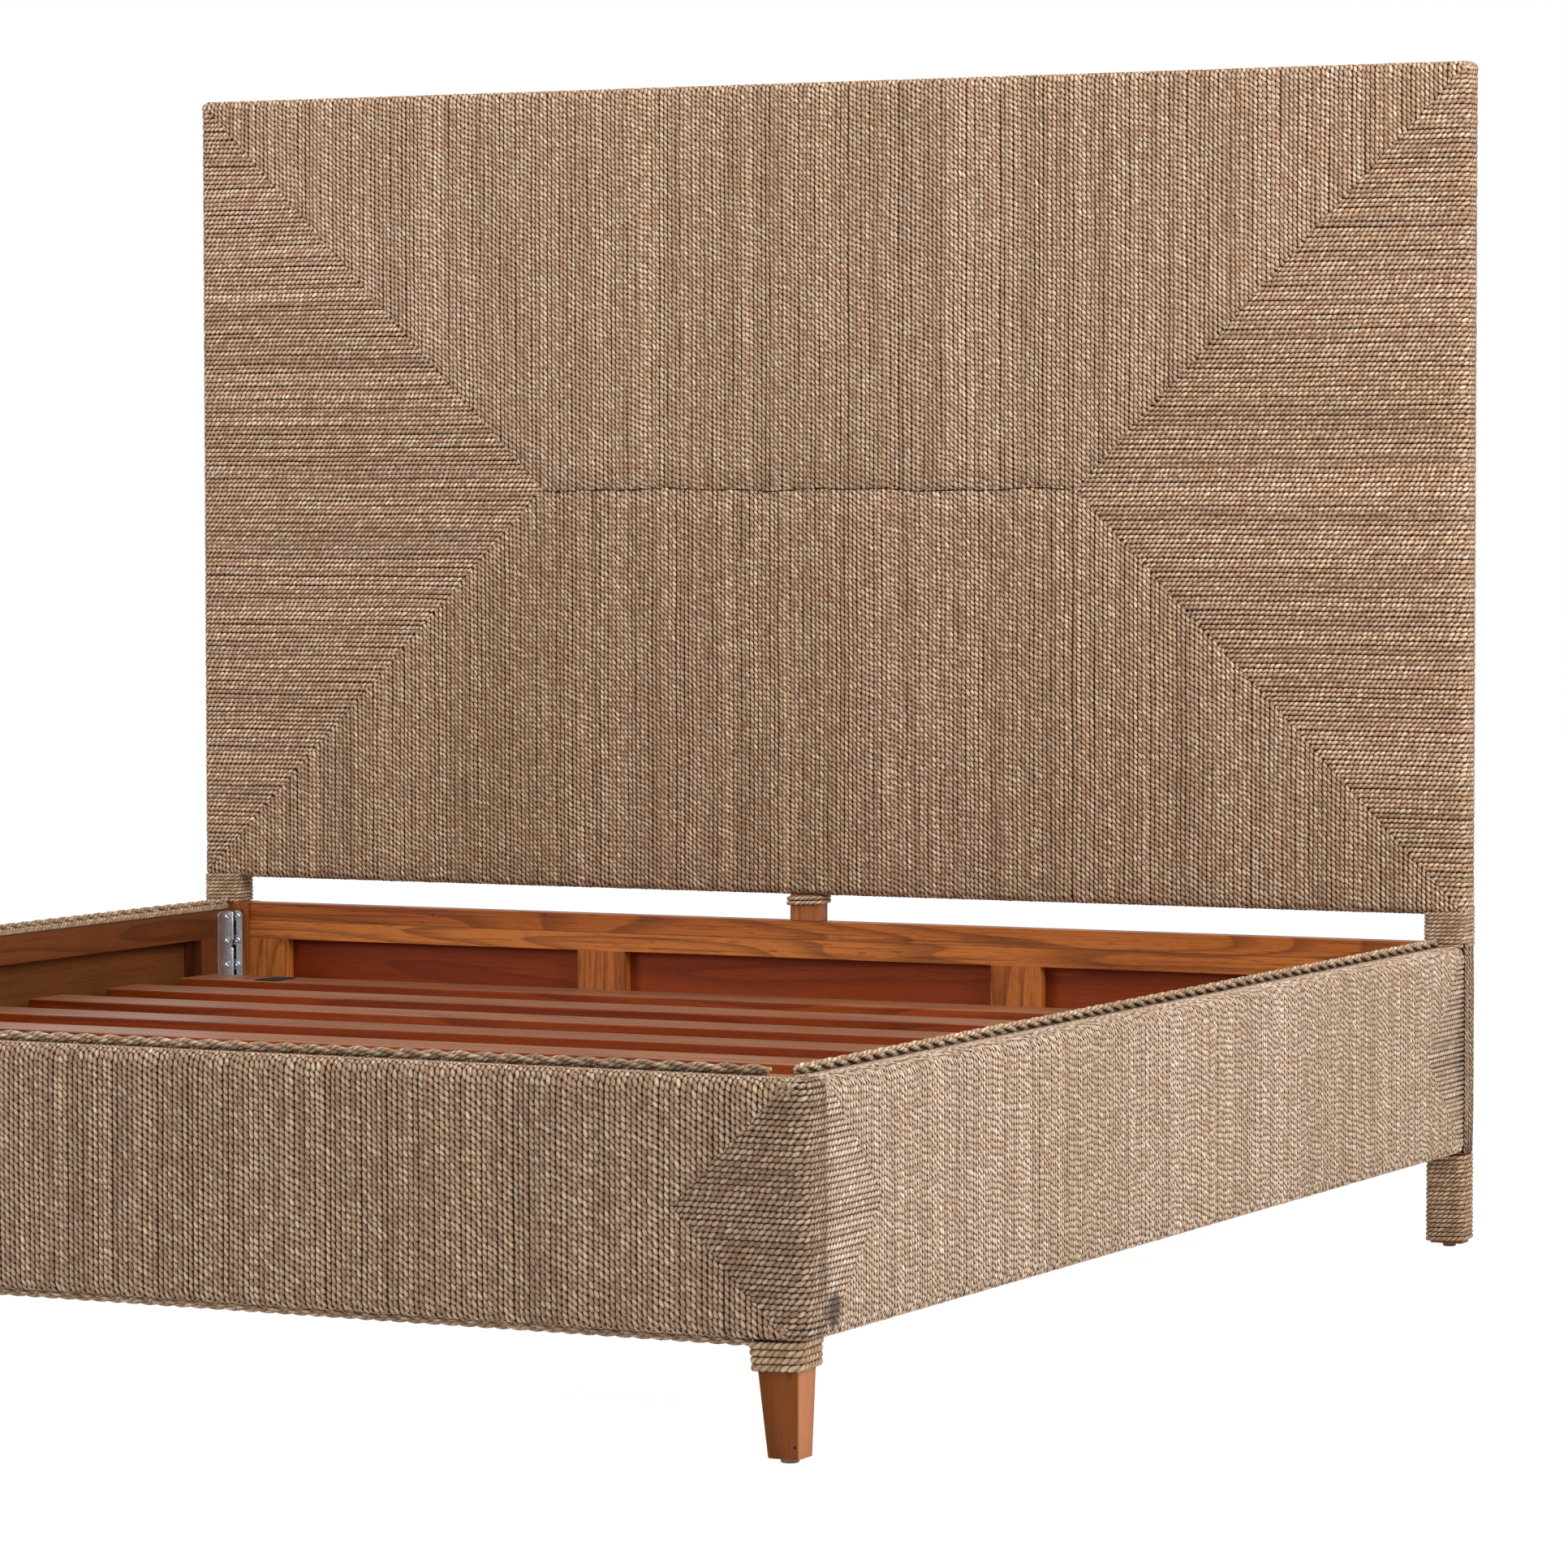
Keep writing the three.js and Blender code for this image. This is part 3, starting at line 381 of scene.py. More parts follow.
def make_rush_group():
    """Two plies twisted round each other: the ply number grows with the length over the lay, and
    with the share of a turn times Cross, which is two on a rope seen all round. A ply stands out by
    the sine of its share, and towards the sides, a share Reach of a turn from the middle, only its
    crown does; the notches left between neighbours are painted a dark colour, painted shade. Fine
    fibres run along it and fray those edges, and the rope's middle sways. Each ply is a little pale,
    warm or cool by chance. The tone also changes with the rope, the batch of rush and the lot of
    ropes, and is painted darker down the flanks of each ply: painted shade."""
    tree, (where, lay, seed, rush, straw, shade, notch_shade, cross, reach, notch), put = new_group(
        "rush_rope", Map="Vector", Lay="Float", Seed="Float", Rush="Color", Straw="Color", Shade="Color",
        Hollow="Color", Cross="Float", Reach="Float", Notch="Float")
    along, round_, _ = split(where)
    rope = round_.does("FLOOR")
    turn = round_ - rope
    own = read(tree, "ShaderNodeTexWhiteNoise", {"W": rope * 1.37 + seed}, "Value", noise_dimensions="1D")
    uneven = noise(combine(along, rope * 3.1, seed), 42.0)
    twist = along / lay + turn * cross + own * 2.0 + uneven * 1.4
    ply = twist.does("FLOOR")
    across = twist - ply
    crown = (across * math.pi).does("SINE")
    sway = noise(combine(along * 120.0, rope, seed), 1.0, 1.0)
    centre = 0.44 + sway * 0.12
    fibre = noise(combine(along * 150.0, across * 6.0, rope * 2.3 + ply), 1.0, 4.0, 0.65)
    side = (turn - centre).does("ABSOLUTE") / reach + (fibre - 0.5) * 0.4
    edge = side.does("MINIMUM", 1.06).does("MAXIMUM", 0.0) ** 1.6 * notch
    stand = crown - edge
    bead, warmth, coolness = split(read(tree, "ShaderNodeTexWhiteNoise", {"Vector": combine(ply, rope, seed)},
                                        "Color", noise_dimensions="3D"))
    batch = noise(combine(along * 1.3, rope * 0.33, seed), 1.0, 3.0, 0.65)
    pale = ramp(fibre * 0.62 + bead * 0.38, 0.30, 0.78)
    colour = blended(pale, rush, straw)
    warm = ramp(warmth, 0.55, 1.0) * 0.42
    colour = blended(warm, colour, tinted(colour, (1.0, 0.76, 0.56, 1.0)))
    cool = ramp(coolness, 0.60, 1.0) * 0.5
    colour = blended(cool, colour, tinted(colour, (0.86, 0.98, 1.08, 1.0)))
    colour = blended(ramp(fibre, 0.34, 0.62), blended(0.60, colour, shade), colour)
    colour = blended(ramp(batch, 0.60, 0.36) * 0.42, colour, shade)
    lot = noise(combine(rope * 0.033, seed, 0.5), 1.0) - 0.5
    tone = 0.80 + own * 0.26 + bead * 0.16 + lot * 0.45
    colour = tinted(colour, combine(tone, tone, tone + lot * 0.25))
    # painted shade: each ply darkens towards the Shade colour down its flanks, away from its crown
    flank = crown - edge * 0.55
    colour = blended(ramp(flank, 0.95, 0.05) * 0.8, colour, shade)
    # painted shade: the dark notch colour fills the notches between plies and between neighbouring ropes
    link(blended(ramp(stand, -0.24, 0.04), notch_shade, colour), put["Color"])
    height = (crown ** 0.7 - edge * 0.8).does("MAXIMUM", -0.3)
    link(height + fibre * 0.34, put["Height"])
    link(0.92 + pale * -0.24, put["Roughness"])
    return tree


rush_group = make_rush_group()


# The notch colour, by default (44, 25, 13), is painted shade between plies and ropes.
def rope_material(name, rush, straw, shade, seed, notch_shade=(44, 25, 13), lay=LAY, depth=1.5 * MM,
                  reach=0.142, notch=0.98, dark_spot=None):
    """Two-ply rush rope; dark_spot is a place round which the rush grew darker, with a ragged edge
    that a noise pushes in and out."""
    material, tree, shader = new_material(name)
    colour, height, roughness = use_group(
        tree, rush_group, Map=read(tree, "ShaderNodeUVMap", uv_map="lay"), Lay=lay, Seed=seed,
        Rush=srgb(*rush), Straw=srgb(*straw), Shade=srgb(*shade), Hollow=srgb(*notch_shade),
        Cross=2.0, Reach=reach, Notch=notch)
    normal = bumped(1.0, depth, height)
    if dark_spot:
        place = object_place(tree)
        away = read(tree, "ShaderNodeVectorMath", {0: place, 1: dark_spot}, operation="SUBTRACT")
        away = read(tree, "ShaderNodeVectorMath", {0: away, 1: (1.0, 1.0, 0.8)}, operation="MULTIPLY")
        away = read(tree, "ShaderNodeVectorMath", {0: away}, "Value", operation="LENGTH")
        ragged = away + noise(place, 90.0, 3.0, 0.6) * (26 * MM)
        colour = blended(ramp(ragged, 36 * MM, 24 * MM) * 0.84, colour, srgb(54, 42, 40))
    show(shader, colour, roughness, normal, 0.3)
    return material


# Near the right front leg; ropes seen all round; strands of the cords
SPOT = {"dark_spot": (1.025, -1.003, 0.164)}
ROUND = {"reach": 0.25, "notch": 0.8}
TRIM = {"lay": 7.5 * MM, "depth": 1.2 * MM, "reach": 1.0, "notch": 0.0}
# One rush, in copies per zone whose tones are set lighter or darker for how much light each zone's faces get:
# painted light and shade, besides some tone that differs at random. The corners and the posts' outer faces
# are the darkest copies, the rail the lightest, with a lighter notch colour.
RUSH = {name: rope_material(name + "_rush", rush, straw, shade, seed, **others)
        for name, rush, straw, shade, seed, others in (
            ("headboard", (207, 170, 139), (237, 216, 187), (147, 113, 87), 3.0, {}),
            ("headboard_side", (209, 169, 138), (248, 223, 190), (143, 108, 83), 5.0, {}),
            ("headboard_lower", (202, 164, 133), (241, 217, 185), (139, 105, 79), 7.0, {}),
            ("rail", (203, 173, 146), (236, 218, 195), (152, 124, 102), 11.0,
             {"notch_shade": (60, 41, 30), **SPOT}),
            ("footboard", (187, 151, 122), (222, 199, 170), (128, 98, 76), 23.0, {}),
            ("corner", (165, 132, 107), (206, 183, 156), (110, 84, 65), 29.0, SPOT),
            ("post", (192, 154, 122), (230, 205, 170), (128, 98, 73), 37.0, ROUND),
            ("post_side", (165, 133, 107), (205, 181, 153), (109, 83, 63), 39.0, {}),
            ("neck", (200, 163, 131), (236, 213, 181), (138, 107, 81), 43.0, ROUND),
            ("trim", (184, 152, 124), (224, 202, 172), (118, 92, 68), 51.0, TRIM))}


# Headboard ropes

def headboard_field(out_axis, direction, first):
    """Ropes laid over one edge of the headboard, from the front mitre to the back one.

    Seen in section, a rope runs out along the front, round an arc, across the edge, round an
    arc and back in along the back. Its length inwards ends at the 45 degree mitre, or at the
    seam at mid height, which wanders a little. Near the board's corners the arc gets smaller by
    the cosine of the rope's lean towards the next edge.
    """
    along_axis, seed = 2 - out_axis, 100 + first
    half_edge, reach = (HALF_WIDTH, HALF_PANEL) if out_axis == 2 else (HALF_PANEL, HALF_WIDTH)
    place = spaced(-half_edge - 1 * MM, half_edge + 1 * MM, seed)
    ropes = len(place)
    bend = HEAD_EDGE - ROPE
    rim = (np.abs(place) - (half_edge - HEAD_EDGE)).clip(0, None)
    rim_per_radian, most_lean = 9.5 * MM, 1.3
    lean = (rim / rim_per_radian).clip(0, most_lean)[:, None]
    small = bend * np.cos(lean)
    mitre = np.maximum(np.abs(place) - (half_edge - reach), 0)
    seam = 1.6 * MM * np.sin(place * 21) + 1.2 * MM * np.sin(place * 53 + 1.0)
    jitter = chance(seed + 1).normal(0, 0.6 * MM, ropes).clip(-1.0 * MM, 1.0 * MM)
    start = mitre + np.where(mitre > 0, 1.8 * jitter - 1.3 * MM, jitter + 0.7 * MM)
    if half_edge > reach:
        start = start + np.where(mitre <= 0, direction * seam, 0)
    start = np.minimum(start, reach - HEAD_EDGE - 0.5 * MM)

    arc = quarter(3)
    thick = HEAD_BACK - HEAD_FRONT
    share = np.concatenate([[0.0, 0.004], np.linspace(0, 1, 15)[1:]])
    front_out = start[:, None] + (reach - HEAD_EDGE - start[:, None]) * share
    front_out[:, 1] = np.minimum(start + END, reach - HEAD_EDGE - 0.3 * MM)
    back_in = front_out[:, [8, 1, 0]]
    out = np.concatenate([
        front_out, reach - HEAD_EDGE + small * np.sin(arc[1:]),
        reach - HEAD_EDGE + small * np.cos(arc), back_in,
    ], axis=1)
    depth = np.concatenate([
        HEAD_EDGE - small + np.zeros(len(share)), HEAD_EDGE - small * np.cos(arc[1:]),
        thick - HEAD_EDGE + small * np.sin(arc), thick - HEAD_EDGE + small + np.zeros(3),
    ], axis=1)
    facing = np.concatenate([np.zeros(len(share)), arc[1:], np.pi / 2 + arc, np.full(3, np.pi)])
    steps = len(facing)
    rounded = half_edge - HEAD_EDGE + bend * np.sin(lean[:, 0])
    side = np.where(rim > 0, np.sign(place) * rounded, place)
    side = side[:, None] + wander(place[:, None], out, seed) + loosened(ropes, out, seed + 3)

    centre, level, along = (np.zeros((ropes, steps, 3)) for _ in range(3))
    centre[..., along_axis] = side
    centre[..., 1] = HEAD_FRONT + depth
    centre[..., out_axis] = direction * out
    centre[..., 2] += PANEL_MID
    level[..., 1] = -np.cos(facing)
    level[..., out_axis] = direction * np.sin(facing)
    along[..., along_axis] = 1.0
    up, over = np.cos(lean)[..., None], (np.sign(place)[:, None] * np.sin(lean))[..., None]
    return rope_arrays(centre, up * level + over * along, up * along - over * level,
                       thickness(ropes, steps, seed + 2), first)


for k, (label, out_axis, direction, rush) in enumerate((
        ("top", 2, 1, "headboard"), ("bottom", 2, -1, "headboard_lower"),
        ("left", 0, -1, "headboard_side"), ("right", 0, 1, "headboard_side"))):
    rope_piece("headboard_ropes_" + label, [headboard_field(out_axis, direction, 400 * k)], RUSH[rush],
               ["headboard_wrap_" + label])


# Ropes over the rails and footboard

def board_section(mitre_high, mitre_low, depth):
    """Section of ropes laid over a board, as pairs of (depth from the outer face, height).

    A rope starts on the board's top, under the trim cord, goes out, round an arc and down the
    outer face to the first height, or from the second height down, round and in below.
    """
    under_cord = depth - 6.5 * MM
    bend = RAIL_EDGE - ROPE
    arc = quarter(3)
    ones = np.ones_like(mitre_high)[:, None]
    top_out = np.concatenate([[under_cord], RAIL_EDGE - bend * np.sin(arc)])
    top_up = np.concatenate([[RAIL_TOP - ROPE], RAIL_TOP - RAIL_EDGE + bend * np.cos(arc)])
    low_up = (RAIL_LOW + RAIL_TOP - top_up)[::-1]
    down = np.array([0.5, 1.0, 1.0])
    fall = RAIL_TOP - RAIL_EDGE + (mitre_high[:, None] - (RAIL_TOP - RAIL_EDGE)) * down
    rise = RAIL_LOW + RAIL_EDGE + (mitre_low[:, None] - (RAIL_LOW + RAIL_EDGE)) * down[::-1]
    fall[:, 1] += np.minimum(END, 0.4 * (RAIL_TOP - RAIL_EDGE - mitre_high))
    rise[:, 1] -= np.minimum(END, 0.4 * (mitre_low - RAIL_LOW - RAIL_EDGE))
    turn_top = np.concatenate([[np.pi / 2], np.pi / 2 - arc])
    upper = (np.concatenate([ones * top_out, ones * np.full(3, ROPE)], axis=1),
             np.concatenate([ones * top_up, fall], axis=1),
             np.concatenate([turn_top, np.zeros(3)]))
    lower = (np.concatenate([ones * np.full(3, ROPE), ones * top_out[::-1]], axis=1),
             np.concatenate([rise, ones * low_up], axis=1),
             np.concatenate([np.zeros(3), -turn_top[::-1]]))
    return upper, lower


def upright_ropes(place, mitre, depth, put, seed):
    """Upright ropes over a board; where mitre is above zero they leave room for lying ropes.

    put turns (place along the board, depth from its face, height) into a point, and the same
    for directions.
    """
    high = np.minimum(RAIL_MID + mitre - MITRE_GAP, RAIL_TOP - RAIL_EDGE - 2 * MM)
    low = np.maximum(RAIL_MID - mitre + MITRE_GAP, RAIL_LOW + RAIL_EDGE + 2 * MM)
    upper, lower = board_section(high, low, depth)
    whole = mitre <= 0
    parts = []
    joined = tuple(np.concatenate([a[:, :-1], b[:, 1:]], axis=1) for a, b in zip(upper[:2], lower[:2]))
    joined = (*joined, np.concatenate([upper[2][:-1], lower[2][1:]]))
    for k, (pick, (out, up, facing)) in enumerate(((whole, joined), (~whole, upper), (~whole, lower))):
        out, up = out[pick], up[pick]
        steps = len(facing)
        along = place[pick][:, None] + wander(place[pick][:, None], up, seed)
        along = along + loosened(len(up), up, seed + steps, 0.25 * MM)
        radius = thickness(len(out), steps, seed + steps)
        outward = put(np.zeros((1, steps)), -np.cos(facing)[None], np.sin(facing)[None], False)
        beside = put(np.ones((1, steps)), np.zeros((1, steps)), np.zeros((1, steps)), False)
        shape = (len(out), steps, 3)
        parts.append(rope_arrays(put(along, out, up, True), np.broadcast_to(outward, shape),
                                 np.broadcast_to(beside, shape), radius, 500 * k))
    return parts


def side_put(side):
    """For a side rail: along is y, and the depth runs inwards from the outer face along x."""
    def put(along, out, up, is_place):
        """A point, or a direction, which leaves the outer face's place out."""
        x = (HALF_WIDTH - out) if is_place else -out
        y, z, x = np.broadcast_arrays(along, up, x)
        return np.stack([side * x, y, z], axis=-1)
    return put


def foot_put(along, out, up, is_place):
    """For the footboard: along is x, and the depth runs inwards from the outer face along y."""
    y = (FOOT_FRONT + out) if is_place else out
    x, z, y = np.broadcast_arrays(along, up, y)
    return np.stack([x, y, z], axis=-1)


def edge_profile(seed):
    """Heights of lying ropes, how far they step back, and their lean, evenly spaced over the
    section: up the flat face, then round the quarter arc at the upper and the lower edge."""
    bend = RAIL_EDGE - ROPE
    flat = HALF_RAIL - RAIL_EDGE
    walk = spaced(-flat - bend * 1.5, flat + bend * 1.5, seed, loose=0.2 * MM)
    lean = (np.maximum(np.abs(walk) - flat, 0) / bend).clip(0, np.pi / 2)
    height = RAIL_MID + np.sign(walk) * (np.minimum(np.abs(walk), flat) + bend * np.sin(lean))
    return height, bend * (1 - np.cos(lean)), lean


def lying_ropes(path, first, seed=91, drawn=(True, True), from_end=False):
    """Lying ropes over the section; path(height, inset) gives points and outward directions."""
    height, inset, lean = edge_profile(seed)
    centre, level = path(height[:, None], inset[:, None])
    up = np.sign(height - RAIL_MID)[:, None, None] * UP
    outward = level * np.cos(lean)[:, None, None] + up * np.sin(lean)[:, None, None]
    ahead = np.gradient(centre, axis=1)
    ahead /= np.linalg.norm(ahead, axis=2, keepdims=True)
    beside = np.cross(ahead, outward)
    radius = thickness(*centre.shape[:2], seed + 5, drawn)
    return rope_arrays(centre, outward, beside, radius, first, from_end=from_end)


def corner_cover(side, top):
    """Three ropes along the corner's flat top or underside, from the front edge to the inner end."""
    bend = RAIL_EDGE - ROPE
    inset = (bend + (np.arange(3) + 0.3) * PITCH)[:, None]
    arc = quarter(3)
    y = np.concatenate([FOOT_FRONT + RAIL_EDGE - bend * np.cos(arc), [FOOT_INNER]])[None] + 0 * inset
    down = np.concatenate([bend * (1 - np.sin(arc)), [0.0]])[None] + 0 * inset
    z = RAIL_TOP - ROPE - down if top else RAIL_LOW + ROPE + down
    centre = np.stack([side * (HALF_WIDTH - ROPE - inset) + 0 * y, y, z], axis=-1)
    turn = np.concatenate([arc, [np.pi / 2]])
    rise = np.sin(turn) if top else -np.sin(turn)
    outward = np.broadcast_to(np.stack([0 * turn, -np.cos(turn), rise], axis=-1), centre.shape)
    beside = np.broadcast_to(np.array([1.0, 0.0, 0.0]), centre.shape)
    return rope_arrays(centre, outward, beside, thickness(3, 4, 97, (False, False)), 2300)


def mitre_reach(height, inset):
    """How far a lying rope comes from the foot of the mitre; on the round edges it stops there."""
    return np.where(inset > 0.4 * MM, 1.0 * MM, HALF_RAIL - np.abs(height - RAIL_MID))


def rail_lying(side, end, toward):
    """From the end of the rail to the mitre, along the outer face."""
    def path(height, inset):
        """Places along each rope from the end on, and their outward directions."""
        reach = np.maximum(mitre_reach(height, inset) + MITRE_GAP, 3.5 * MM)
        share = np.array([[0.0, 0.33, 0.66, 0.985, 1.0]])
        y = end + toward * reach * share
        x = side * (HALF_WIDTH - ROPE - inset) + 0 * y
        centre = np.stack([x, y, height + 0 * y + wander(height, y, 7, 0.5 * MM)], axis=-1)
        return centre, np.broadcast_to(np.array([side, 0.0, 0.0]), centre.shape)
    return path


def corner_lying(side):
    """From the mitre on the footboard's front, round the corner, to the end of its side."""
    def path(height, inset):
        """Straight run, quarter arc and straight run again, and their outward directions."""
        bend = np.maximum(RAIL_EDGE - ROPE - inset, 0.5 * MM)
        arc = quarter(4)
        start = FOOT_MITRE - mitre_reach(height, inset) - MITRE_GAP
        start = np.minimum(start, HALF_WIDTH - RAIL_EDGE - 1 * MM)
        run = start + (HALF_WIDTH - RAIL_EDGE - start) * np.array([[0.0, 0.02, 0.5]])
        x = np.concatenate([run, HALF_WIDTH - RAIL_EDGE + bend * np.sin(arc)[None],
                            HALF_WIDTH - RAIL_EDGE + bend], axis=1)
        y = np.concatenate([FOOT_FRONT + RAIL_EDGE - bend + 0 * run,
                            FOOT_FRONT + RAIL_EDGE - bend * np.cos(arc)[None],
                            FOOT_INNER + 0 * bend], axis=1)
        centre = np.stack([side * x, y, height + 0 * x + wander(height, x, 9, 0.6 * MM)], axis=-1)
        turn = np.concatenate([np.zeros(3), arc, [np.pi / 2]])
        level = np.stack([side * np.sin(turn), -np.cos(turn), 0 * turn], axis=-1)
        return centre, np.broadcast_to(level[None], centre.shape)
    return path


for label, side in SIDES:
    place = spaced(FOOT_INNER + 0.5 * MM, RAIL_HEAD_END, 31 + side)
    mitre = (np.maximum(HALF_RAIL - (place - FOOT_INNER), 0)
             + np.maximum(HALF_RAIL - (RAIL_HEAD_END - place), 0))
    ropes = upright_ropes(place, mitre, HALF_WIDTH - INNER_HALF, side_put(side), 40 + side)
    ropes.append(lying_ropes(rail_lying(side, FOOT_INNER, 1), 2200, drawn=(False, True)))
    ropes.append(lying_ropes(rail_lying(side, RAIL_HEAD_END, -1), 2100, seed=95))
    rope_piece("rail_ropes_" + label, ropes, RUSH["rail"], ["side_rail_wrap_" + label])
    corner = [lying_ropes(corner_lying(side), 2200, drawn=(True, False), from_end=True),
              corner_cover(side, True), corner_cover(side, False)]
    rope_piece("corner_ropes_" + label, corner, RUSH["corner"], ["foot_wrap_corner_" + label])

place = spaced(-FOOT_MITRE, FOOT_MITRE, 81)
mitre = np.maximum(np.abs(place) - (FOOT_MITRE - HALF_RAIL), 0)
foot_upright = upright_ropes(place, mitre, FOOT_INNER - FOOT_FRONT, foot_put, 82)
rope_piece("footboard_ropes", foot_upright, RUSH["footboard"], ["foot_wrap_middle"])


# Wound ropes

# Width and depth of what the ropes are wound round, and the radius of its corners
LEG_SECTION = (48 * MM, 33 * MM)
NECK_SECTION = (52 * MM, 38 * MM)
MIDDLE_POST = (49 * MM, 28 * MM)
POST_CORNER = 4 * MM
THIN_CORNER = 2 * MM

# Middles of the neck and of the middle post
NECK_X = POST_X - 2 * MM
MIDDLE_POST_Y = HEAD_FRONT + 6 * MM + 14 * MM

# Where windings begin and end, and how far the neck's one comes down past the joint's top
LEG_ROPE_LOW = 5.6 * MM
LEG_ROPE_TOP = RAIL_LOW - 0.2 * MM
NECK_DROP = {"left": 4 * MM, "right": 10 * MM}
NECK_TOP = PANEL_LOW + 7 * MM
MIDDLE_COLLAR = (PANEL_LOW - 18.5 * MM, PANEL_LOW + 1 * MM)
LEG_COLLAR = (97.4 * MM, 137.6 * MM)
NECK_ROPE = 2.9 * MM  # half its thickness
COLLAR_ROPE = 4.1 * MM

# Front leg: its width and depth on the glide, how much they grow, and over what height
GLIDE_HEIGHT = 5 * MM
LEG_RISE = RAIL_LOW - 5.3 * MM
LEG_FOOT = (38 * MM, 36 * MM)
LEG_MORE = (16 * MM, 12 * MM)


def rounded_loop(width, depth, radius, share):
    """Point and outward direction at a share of the way round a rectangle with round corners.

    It goes anticlockwise from the middle of the front side: straight run, quarter circle, and so
    on, each found by how far round the length has come.
    """
    flat_w, flat_d = width - 2 * radius + 0 * share, depth - 2 * radius + 0 * share
    arc = radius * np.pi / 2
    s = np.mod(share, 1.0) * (2 * flat_w + 2 * flat_d + 4 * arc)
    corner_x = np.array([0.5, 0.5, -0.5, -0.5])
    corner_y = np.array([-0.5, 0.5, 0.5, -0.5])
    x, y, turn = (np.zeros_like(s) for _ in range(3))
    begin = np.zeros_like(s)
    for k in range(5):
        a = (k - 1) * np.pi / 2
        run = flat_d if k % 2 else flat_w
        if k in (0, 4):
            run = run / 2
        start_x = 0.0 * s if k == 0 else corner_x[k - 1] * flat_w + radius * np.cos(a)
        start_y = (corner_y[k - 1] * flat_d if k else -0.5 * flat_d) + radius * np.sin(a)
        t = s - begin
        here = t >= 0
        x = np.where(here, start_x - np.sin(a) * t, x)
        y = np.where(here, start_y + np.cos(a) * t, y)
        turn = np.where(here, a, turn)
        begin = begin + run
        if k < 4:
            t = s - begin
            here = t >= 0
            bent = a + t / radius
            x = np.where(here, corner_x[k] * flat_w + radius * np.cos(bent), x)
            y = np.where(here, corner_y[k] * flat_d + radius * np.sin(bent), y)
            turn = np.where(here, bent, turn)
            begin = begin + arc
    return x, y, np.cos(turn), np.sin(turn)


def wound_rope(middle, size, radius, bottom, top, seed, first, rope=ROPE):
    """One rope climbing steadily round a post: the height rises by one pitch each loop.

    middle and size give the section's middle and its width and depth at a height. The rope
    starts and ends at the post's back.
    """
    loops = max(round((top - bottom - 2 * rope) / (2 * rope)), 1)
    rise = (top - bottom - 2 * rope) / loops
    t = np.linspace(-0.1, loops + 0.1, int((loops + 0.2) * STEPS_A_LOOP) + 1)
    z = bottom + rope + rise * t.clip(0, loops)
    z = z + 0.18 * MM * np.sin(t * 2 * np.pi + seed) * np.sin(t * 1.7)
    width, depth = size(z)
    x, y, nx, ny = rounded_loop(width + 2 * rope, depth + 2 * rope, radius + rope, t + 0.5)
    middle_x, middle_y = middle(z)
    loose = 0.22 * MM * np.sin(t * 11.3 + seed)
    centre = np.stack([x + middle_x + nx * loose, y + middle_y + ny * loose, z], axis=-1)[None]
    outward = np.stack([nx, ny, 0 * nx], axis=-1)[None]
    beside = np.broadcast_to(-UP, centre.shape)
    ends = np.ones(len(t))
    ends[[0, -1]] = 0.6
    return rope_arrays(centre, outward, beside, (rope * 1.02 * ends)[None], first, angle=EIGHT, wide=1.0)


def straight_post(x, y, width, depth):
    """Middle and size of a post whose section is the same at every height."""
    return (lambda z: (x + 0 * z, y + 0 * z)), (lambda z: (width + 0 * z, depth + 0 * z))


def tapered_leg(side):
    """Middle and size of a front leg, whose width and depth grow with height from its foot."""
    def size(z):
        """Width and depth at a height, by its share of the way up."""
        share = (z - GLIDE_HEIGHT) / LEG_RISE
        return LEG_FOOT[0] + LEG_MORE[0] * share, LEG_FOOT[1] + LEG_MORE[1] * share

    def middle(z):
        """Middle at a height: the outer and the front face stay upright."""
        width, depth = size(z)
        return side * (LEG_OUTER - width / 2), LEG_FRONT + depth / 2
    return middle, size


def post_side_ropes(side):
    """Upright ropes on the post's outer face, round its back corner and along its back."""
    bend = HEAD_EDGE - ROPE
    around, pitch = 91, 6.1  # mm, over the side and the back
    gap = 0.6 * MM
    run = np.arange(0, around, pitch) * MM + ROPE
    flat = HEAD_BACK - HEAD_EDGE - HEAD_FRONT
    turn = ((run - flat) / bend).clip(0, np.pi / 2)
    past = (run - flat - bend * np.pi / 2).clip(0, None)
    x = HALF_WIDTH - HEAD_EDGE + bend * np.cos(turn) - past
    y = HEAD_FRONT + np.minimum(run, flat) + bend * np.sin(turn)
    heights = np.linspace(RAIL_LOW + gap, JOINT_TOP - gap, 6)
    steps = len(heights)
    on_post = x > HALF_WIDTH - POST_WIDTH + ROPE
    x, y, turn = x[on_post], y[on_post], turn[on_post]
    centre = np.zeros((len(x), steps, 3))
    centre[..., 0] = side * x[:, None]
    centre[..., 1] = y[:, None] + wander(y[:, None], heights[None], 5, 0.4 * MM)
    centre[..., 2] = heights
    outward = np.stack([side * np.cos(turn), np.sin(turn), 0 * turn], axis=-1)[:, None].repeat(steps, axis=1)
    return rope_arrays(centre, outward, np.cross(outward, UP), thickness(len(x), steps, 6), 3050)


for label, side in SIDES:
    leg = wound_rope(*straight_post(side * POST_X, POST_Y, *LEG_SECTION), POST_CORNER,
                     LEG_ROPE_LOW, LEG_ROPE_TOP, 3 + side, 3000)
    rope_piece("post_leg_rope_" + label, [leg], RUSH["post"], ["head_leg_wrap_" + label])
    neck = wound_rope(*straight_post(side * NECK_X, POST_Y, *NECK_SECTION), POST_CORNER,
                      JOINT_TOP - NECK_DROP[label], NECK_TOP, 8 + side, 3010, rope=NECK_ROPE)
    rope_piece("post_neck_rope_" + label, [neck], RUSH["neck"], ["head_neck_wrap_" + label])
for label, side in SIDES:
    rope_piece("post_side_ropes_" + label, [post_side_ropes(side)], RUSH["post_side"],
               ["head_post_side_wrap_" + label])
